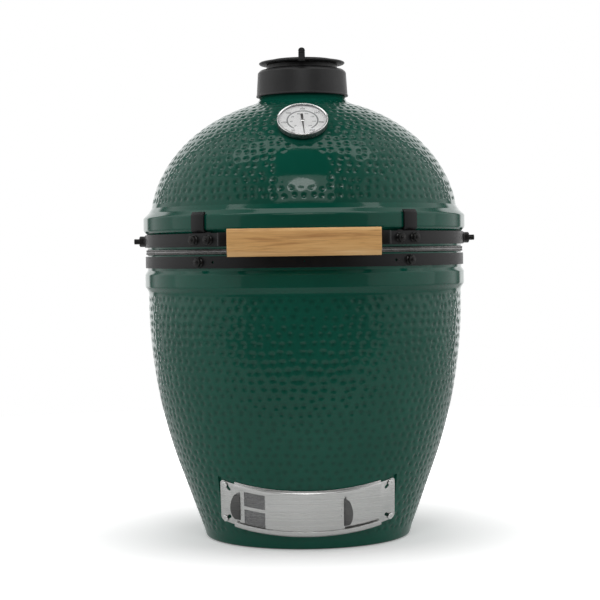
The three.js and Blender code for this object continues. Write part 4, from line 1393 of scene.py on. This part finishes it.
def add_stem():
    """The probe behind the dial, and the toothed clip that holds it inside the dome."""
    stem = lathe([(0, -95), (2.2, -94.2), (3.8, -91), (4, -88), (4, 0.7), (0, 0.7)], 28, closed=False)
    piece("gauge_probe", in_gauge(stem), MAT["stainless"], "dome", ["gauge_stem"])
    clip = ring_form(4.6, 12, -23, -21.5, 0.4, 48)
    notches = [in_gauge(block(2, 9, 5).at(0, 11, -22).turned(a * 60, "Z")) for a in range(6)]
    piece("gauge_lock", in_gauge(clip), MAT["stainless"], "dome", ["gauge_clip"], notches)


def add_gauge():
    cup = lathe(rounded([(0, 1), (36, 1, 2), (40.3, 3.2, 1.5), (40.5, 11.5, 0.4), (38.8, 11.5, 0.3),
                         (38.8, 8.5, 0.3), (0, 8.5)], False), 120, closed=False)
    # The cup takes the darker spring steel instead of bright steel: a painted dark reflection on the case's
    # side.
    piece("gauge_cup", in_gauge(cup), MAT["spring"], "dome", ["gauge_case"],
          [in_gauge(rod(2.4, -2, 9, 20))])
    add_dial()
    lens = lathe(rounded([(0, 10.8), (38.4, 10.8, 0.2), (38.4, 11.4, 0.2), (0, 11.4)], False), 120,
                 closed=False)
    piece("gauge_glass", in_gauge(lens), MAT["lens"], "dome", ["gauge_lens"])
    bezel = lathe(rounded([(38.2, 11.8, 0.2), (41, 11.8, 0.4), (41, 12.6, 0.6), (40.0, 13.4, 0.5),
                           (38.6, 13.1, 0.4), (38.2, 12.5, 0.2)]), 160)
    piece("gauge_ring", in_gauge(bezel), MAT["bright"], "dome", ["gauge_bezel"])
    add_needle()
    add_stem()


# ------------------------------------------------------------------ draft door
TRACK = {"plate": 210, "screen": 211.5, "vent": 212.8, "lip": 214.3, "out": 215.5}
VENT_CENTRE, VENT_HALF = -1.35, 17.5
SCREEN_CENTRE, SCREEN_HALF = -14.25, 17.25
WINDOWS = ((3, 29), (-29, -3))


def turned_section(section, start, end, step=1.0):
    """A closed (radius, height) outline swept round the door's axis between two angles."""
    steps = max(2, round((end - start) / step))
    count = len(section)
    verts, faces = [], []
    for i in range(steps + 1):
        a = start + (end - start) * i / steps
        for r, z in section:
            x, y = around(r, a)
            verts.append((x, y, z))
    for i in range(steps):
        for k in range(count):
            n = (k + 1) % count
            faces.append((i * count + k, (i + 1) * count + k, (i + 1) * count + n, i * count + n))
    faces.append(tuple(range(count)))
    faces.append(tuple(range((steps + 1) * count - 1, steps * count - 1, -1)))
    return Form(verts, faces)


def wrapped(obj, radius, step):
    """Bends a flat form in metres round the door's axis: X becomes the way round, Y the height."""
    bm = bmesh.new()
    bm.from_mesh(obj.data)
    reach = max(v.co.x for v in bm.verts)
    u = -reach + step
    while u < reach:
        geom = [*bm.verts, *bm.edges, *bm.faces]
        bmesh.ops.bisect_plane(bm, geom=geom, plane_co=(u, 0, 0), plane_no=(1, 0, 0))
        u += step
    for v in bm.verts:
        angle, out, height = v.co.x / radius, radius + v.co.z, v.co.y
        v.co = (out * math.sin(angle), -out * math.cos(angle), height)
    bm.to_mesh(obj.data)
    bm.free()


def draft_frame():
    middle = TRACK["plate"] + 0.6
    ear, rail_end = FRAME_HALF * RAD * middle, EAR_HALF * RAD * middle
    corner = [(rail_end, EAR_HIGH, 1), (rail_end, FRAME_HIGH, 1.5)]
    quarter = [(ear, EAR_HIGH, 7), *corner]
    outline = [(x, -y, r) for x, y, r in quarter[::-1]] + quarter
    outline = rounded(outline + [(-x, -y, r) for x, y, r in outline])
    obj = raw_object("draft_door_frame", raised(outline, -0.6, 0.6))
    half = 15 * RAD * middle
    cuts = [raised(rounded([(-half, -26, 2), (half, -26, 2), (half, 26, 2), (-half, 26, 2)]), -3, 3)]
    for angle, level in DOOR_SCREWS:
        away, lift = math.copysign(1, angle), math.copysign(1, level)
        slot = raised([*arc(0, 0, 2.9, -90, 90, 8), *arc(-10.5, 0, 2.9, 90, 270, 8)], -3, 3)
        if away < 0:
            slot = mirror_form(slot)
        cuts.append(slot.turned(away * lift * 35, "Z").at(angle * RAD * middle, level, 0))
    boolean(obj, cuts, "DIFFERENCE")
    bevelled(obj, 0.35, 2, 40)
    wrapped(obj, middle * MM, RAD * middle * MM)
    rail = rounded([(TRACK["plate"] + 0.6, 34.4), (TRACK["lip"], 34.0, 0.3), (TRACK["lip"], 30.5, 0.3),
                    (TRACK["out"], 30.5, 0.5), (TRACK["out"], 38.2, 3.0), (TRACK["plate"] + 0.6, 41.4)])
    upper = turned_section(rail, -RAIL_HALF, RAIL_HALF)
    lower = turned_section([(r, -z) for r, z in rail], -RAIL_HALF, RAIL_HALF)
    boolean(obj, [upper, lower], "UNION")
    obj.data.transform(scaled(DOOR_FRAME))
    mark_edges(obj, 35)
    settle(obj, MAT["stainless"], "base", ["draft_frame"])


def scaled(matrix):
    """A matrix in millimetres as one in metres."""
    made = matrix.copy()
    made.translation = matrix.translation * MM
    return made


def pull_form(radius, angle, lean, half, reach):
    """A bent-out pull: a thin curved sheet, deepest at its middle, that leans round the door."""
    levels, across = 18, 8
    verts, faces = [], []
    thick = 0.9
    offset = thick / radius / RAD * (1 if lean > 0 else -1)
    for side in (0, 1):
        for i in range(levels + 1):
            h = -half + 2 * half * i / levels
            bulge = (1 - (h / half) ** 2) ** 0.5 if abs(h) < half else 0.0
            for k in range(across + 1):
                t = k / across
                out = t * (1.4 + (reach - 1.4) * bulge)
                swing = lean * (t ** 1.6) * (0.25 + 0.75 * bulge) * 3.6
                x, y = around(radius + out, angle + swing + side * offset)
                verts.append((x, y, h))
    row = across + 1
    size = (levels + 1) * row
    for i in range(levels):
        for k in range(across):
            a = i * row + k
            faces.append((a, a + 1, a + row + 1, a + row))
            faces.append((size + a, size + a + row, size + a + row + 1, size + a + 1))
    border = ([i for i in range(row)] + [i * row + across for i in range(1, levels + 1)]
              + [levels * row + k for k in range(across - 1, -1, -1)]
              + [i * row for i in range(levels - 1, 0, -1)])
    for a, b in zip(border, border[1:] + border[:1]):
        faces.append((a, size + a, size + b, b))
    return Form(verts, faces)


def oriented(form):
    """The form with all its faces turned the same way."""
    bm = bmesh.new()
    mesh = bpy.data.meshes.new("turn")
    mesh.from_pydata(form.verts.tolist(), [], form.faces)
    bm.from_mesh(mesh)
    bmesh.ops.recalc_face_normals(bm, faces=bm.faces)
    faces = [tuple(v.index for v in f.verts) for f in bm.faces]
    bm.free()
    bpy.data.meshes.remove(mesh)
    return Form(form.verts, faces)


def woven(start, end, low, high, radius, spacing):
    """A plain weave of round wires in a curved window."""
    columns = int((end - start) * RAD * radius / spacing)
    rows = int((high - low) / spacing)
    wave = 0.22
    wires = []
    for c in range(columns):
        angle = start + (c + 0.5) * (end - start) / columns
        path = []
        for r in range(rows * 2 + 1):
            lift = wave * (1 if c % 2 else -1) * math.cos(math.pi * (r * 0.5))
            path.append((*around(radius + lift, angle), low + (high - low) * r / (rows * 2)))
        wires.append(tube(path, 0.24, 5))
    for r in range(rows):
        h = low + (r + 0.5) * (high - low) / rows
        path = []
        for c in range(columns * 2 + 1):
            lift = wave * (1 if r % 2 else -1) * math.cos(math.pi * (c * 0.5 + 0.5))
            path.append((*around(radius + lift, start + (end - start) * c / (columns * 2)), h))
        wires.append(tube(path, 0.24, 5))
    return wires[0].joined(*wires[1:])


def add_rivets(name, angle, radius, levels, body):
    """Small domed heads that hold a pull to its door."""
    section = [(0, -0.4), (1.7, -0.4), (1.7, 0.3), (1.25, 0.9), (0.6, 1.2), (0, 1.25)]
    heads = [in_door(outwards(lathe(section, 20, closed=False), angle, radius, level)) for level in levels]
    piece(name, heads, MAT["bright"], body, sharp=60)


def add_vent_door():
    start, end = VENT_CENTRE - VENT_HALF, VENT_CENTRE + VENT_HALF
    vent = sector(TRACK["vent"], TRACK["vent"] + 1.2, start, end, -33, 33, 1.0)
    tab = oriented(pull_form(TRACK["vent"] + 0.5, end - 0.5, 0.8, 25, 12.4))
    piece("vent_panel", in_door(vent), MAT["stainless"], "vent_slider", ["vent_door"], sharp=40)
    piece("vent_pull", in_door(tab), MAT["pull"], "vent_slider", sharp=60)
    add_rivets("vent_pull_rivets", end - 1.9, TRACK["vent"] + 1.2, (6, -6), "vent_slider")


def add_screen_door():
    start, end = SCREEN_CENTRE - SCREEN_HALF, SCREEN_CENTRE + SCREEN_HALF
    add_rivets("screen_pull_rivets", start + 1.3, TRACK["screen"] + 1.0, (15, -15), "screen_slider")
    panel = sector(TRACK["screen"], TRACK["screen"] + 1, start, end, -33, 33, 1.0)
    tab = oriented(pull_form(TRACK["screen"] + 0.5, start + 0.5, -0.8, 25, 12.4))
    cuts = [in_door(sector(200, 225, start + 2.5, end - 2.5, low, high, 1.0)) for low, high in WINDOWS]
    piece("screen_panel", in_door(panel), MAT["stainless"], "screen_slider", ["screen_door"],
          cuts, sharp=40)
    piece("screen_pull", in_door(tab), MAT["pull"], "screen_slider", sharp=60)
    spacing = 1.5
    for name, (low, high) in zip(("upper", "lower"), WINDOWS):
        weave = woven(start + 2.4, end - 2.4, low - 0.2, high + 0.2, TRACK["screen"] + 0.5, spacing)
        obj = raw_object(f"woven_screen_{name}", in_door(weave))
        mark_edges(obj, 80)
        settle(obj, MAT["mesh"], "screen_slider", [f"screen_mesh_{name}"])


def add_draft_screws():
    for i, (angle, level) in enumerate(DOOR_SCREWS):
        head = rod(5.5, 0, 2.4, 32, 1.1)
        shaft = rod(2.2, -18, 1, 16)
        drive = [block(0.9, 5, 1.6).at(0, 0, 2.4), block(5, 0.9, 1.6).at(0, 0, 2.4)]
        forms = [in_door(outwards(f, angle, TRACK["plate"] + 1.6, level)) for f in (head, shaft, *drive)]
        piece(f"draft_screw_head_{i + 1}", forms[:2], MAT["bright"], "base",
              [f"draft_screw_{i + 1}"], forms[2:], sharp=35)


# ------------------------------------------------------------------ inside
def add_fire_box():
    low, high = box_mm("fire_box")
    outline = rounded([(118, low[2], 2), (140, low[2], 3), (173, 120, 6), (226, 285, 10), (226, high[2], 3),
                       (208, high[2], 3), (207, 285, 6), (162, 130, 4), (162, 115, 1), (132, 115, 2),
                       (118, 95, 4)])
    notch = raised(rounded([(-62, -200), (62, -200), (62, -60, 6), (-62, -60, 6)]), 0, 98)
    piece("fire_bowl", lathe(outline, 120), MAT["clay"], "base", ["fire_box"], [notch],
          bevel=0.8)
    low, high = box_mm("fire_ring")
    outline = rounded([(209, low[2], 3), (226, low[2], 3), (236, high[2], 3), (218, high[2], 3)])
    piece("fire_collar", lathe(outline, 144), MAT["clay"], "base", ["fire_ring"])


def add_charcoal_grate():
    low, high = box_mm("charcoal_grate")
    slots = []
    for count, inner, outer in ((6, 28, 56), (10, 72, 98), (14, 112, 138)):
        half = 360 / count / 4
        for i in range(count):
            middle = 360 / count * i
            slots.append(sector(inner, outer, middle - half, middle + half, low[2] - 1, high[2] + 1, 2.0))
    section = rounded([(0, low[2]), (150, low[2], 1), (156, low[2] + 3, 1), (156, high[2], 1.5),
                       (0, high[2])], False)
    piece("coal_grate", lathe(section, 120, closed=False), MAT["iron"], "base",
          ["charcoal_grate"], [slots[0].joined(*slots[1:])], bevel=0.7)


def add_cooking_grid():
    low, high = box_mm("cooking_grid")
    outer = high[0]
    middle = (low[2] + high[2]) / 2
    rim = tube([(*around(outer - 3, a), middle) for a in range(0, 360, 3)], 3.0, 14, closed=True)
    bars = []
    for i in range(-14, 15):
        x = i * 15.2
        half = math.sqrt((outer - 4) ** 2 - x ** 2)
        bars.append(tube([(x, y, high[2] - 2.2) for y in (-half, 0, half)], 2.1, 10))
    for y in (-96, 96):
        half = math.sqrt((outer - 4) ** 2 - y ** 2)
        bars.append(tube([(-half, y, low[2] + 1.9), (half, y, low[2] + 1.9)], 1.8, 10))
    obj = raw_object("grill_grid", rim.joined(*bars))
    mark_edges(obj, 50)
    settle(obj, MAT["grid"], "grid", ["cooking_grid"])


# ------------------------------------------------------------------ the grill
add_studio()
base_ceramic()
dome_ceramic()
add_bands()
add_felt("felt_base", "base_gasket", "base", 3)
add_felt("felt_dome", "dome_gasket", "dome", 4)
add_nuts()
add_side_studs()
add_grip()
for hand, sign in (("left", -1), ("right", 1)):
    add_clip(hand, sign)
    add_bracket(hand, sign)
add_hinge()
add_collar()
add_vent_plate()
add_damper()
add_pivot_bolt()
add_finger_tab()
add_gauge()
draft_frame()
add_vent_door()
add_screen_door()
add_draft_screws()
add_fire_box()
add_charcoal_grate()
add_cooking_grid()
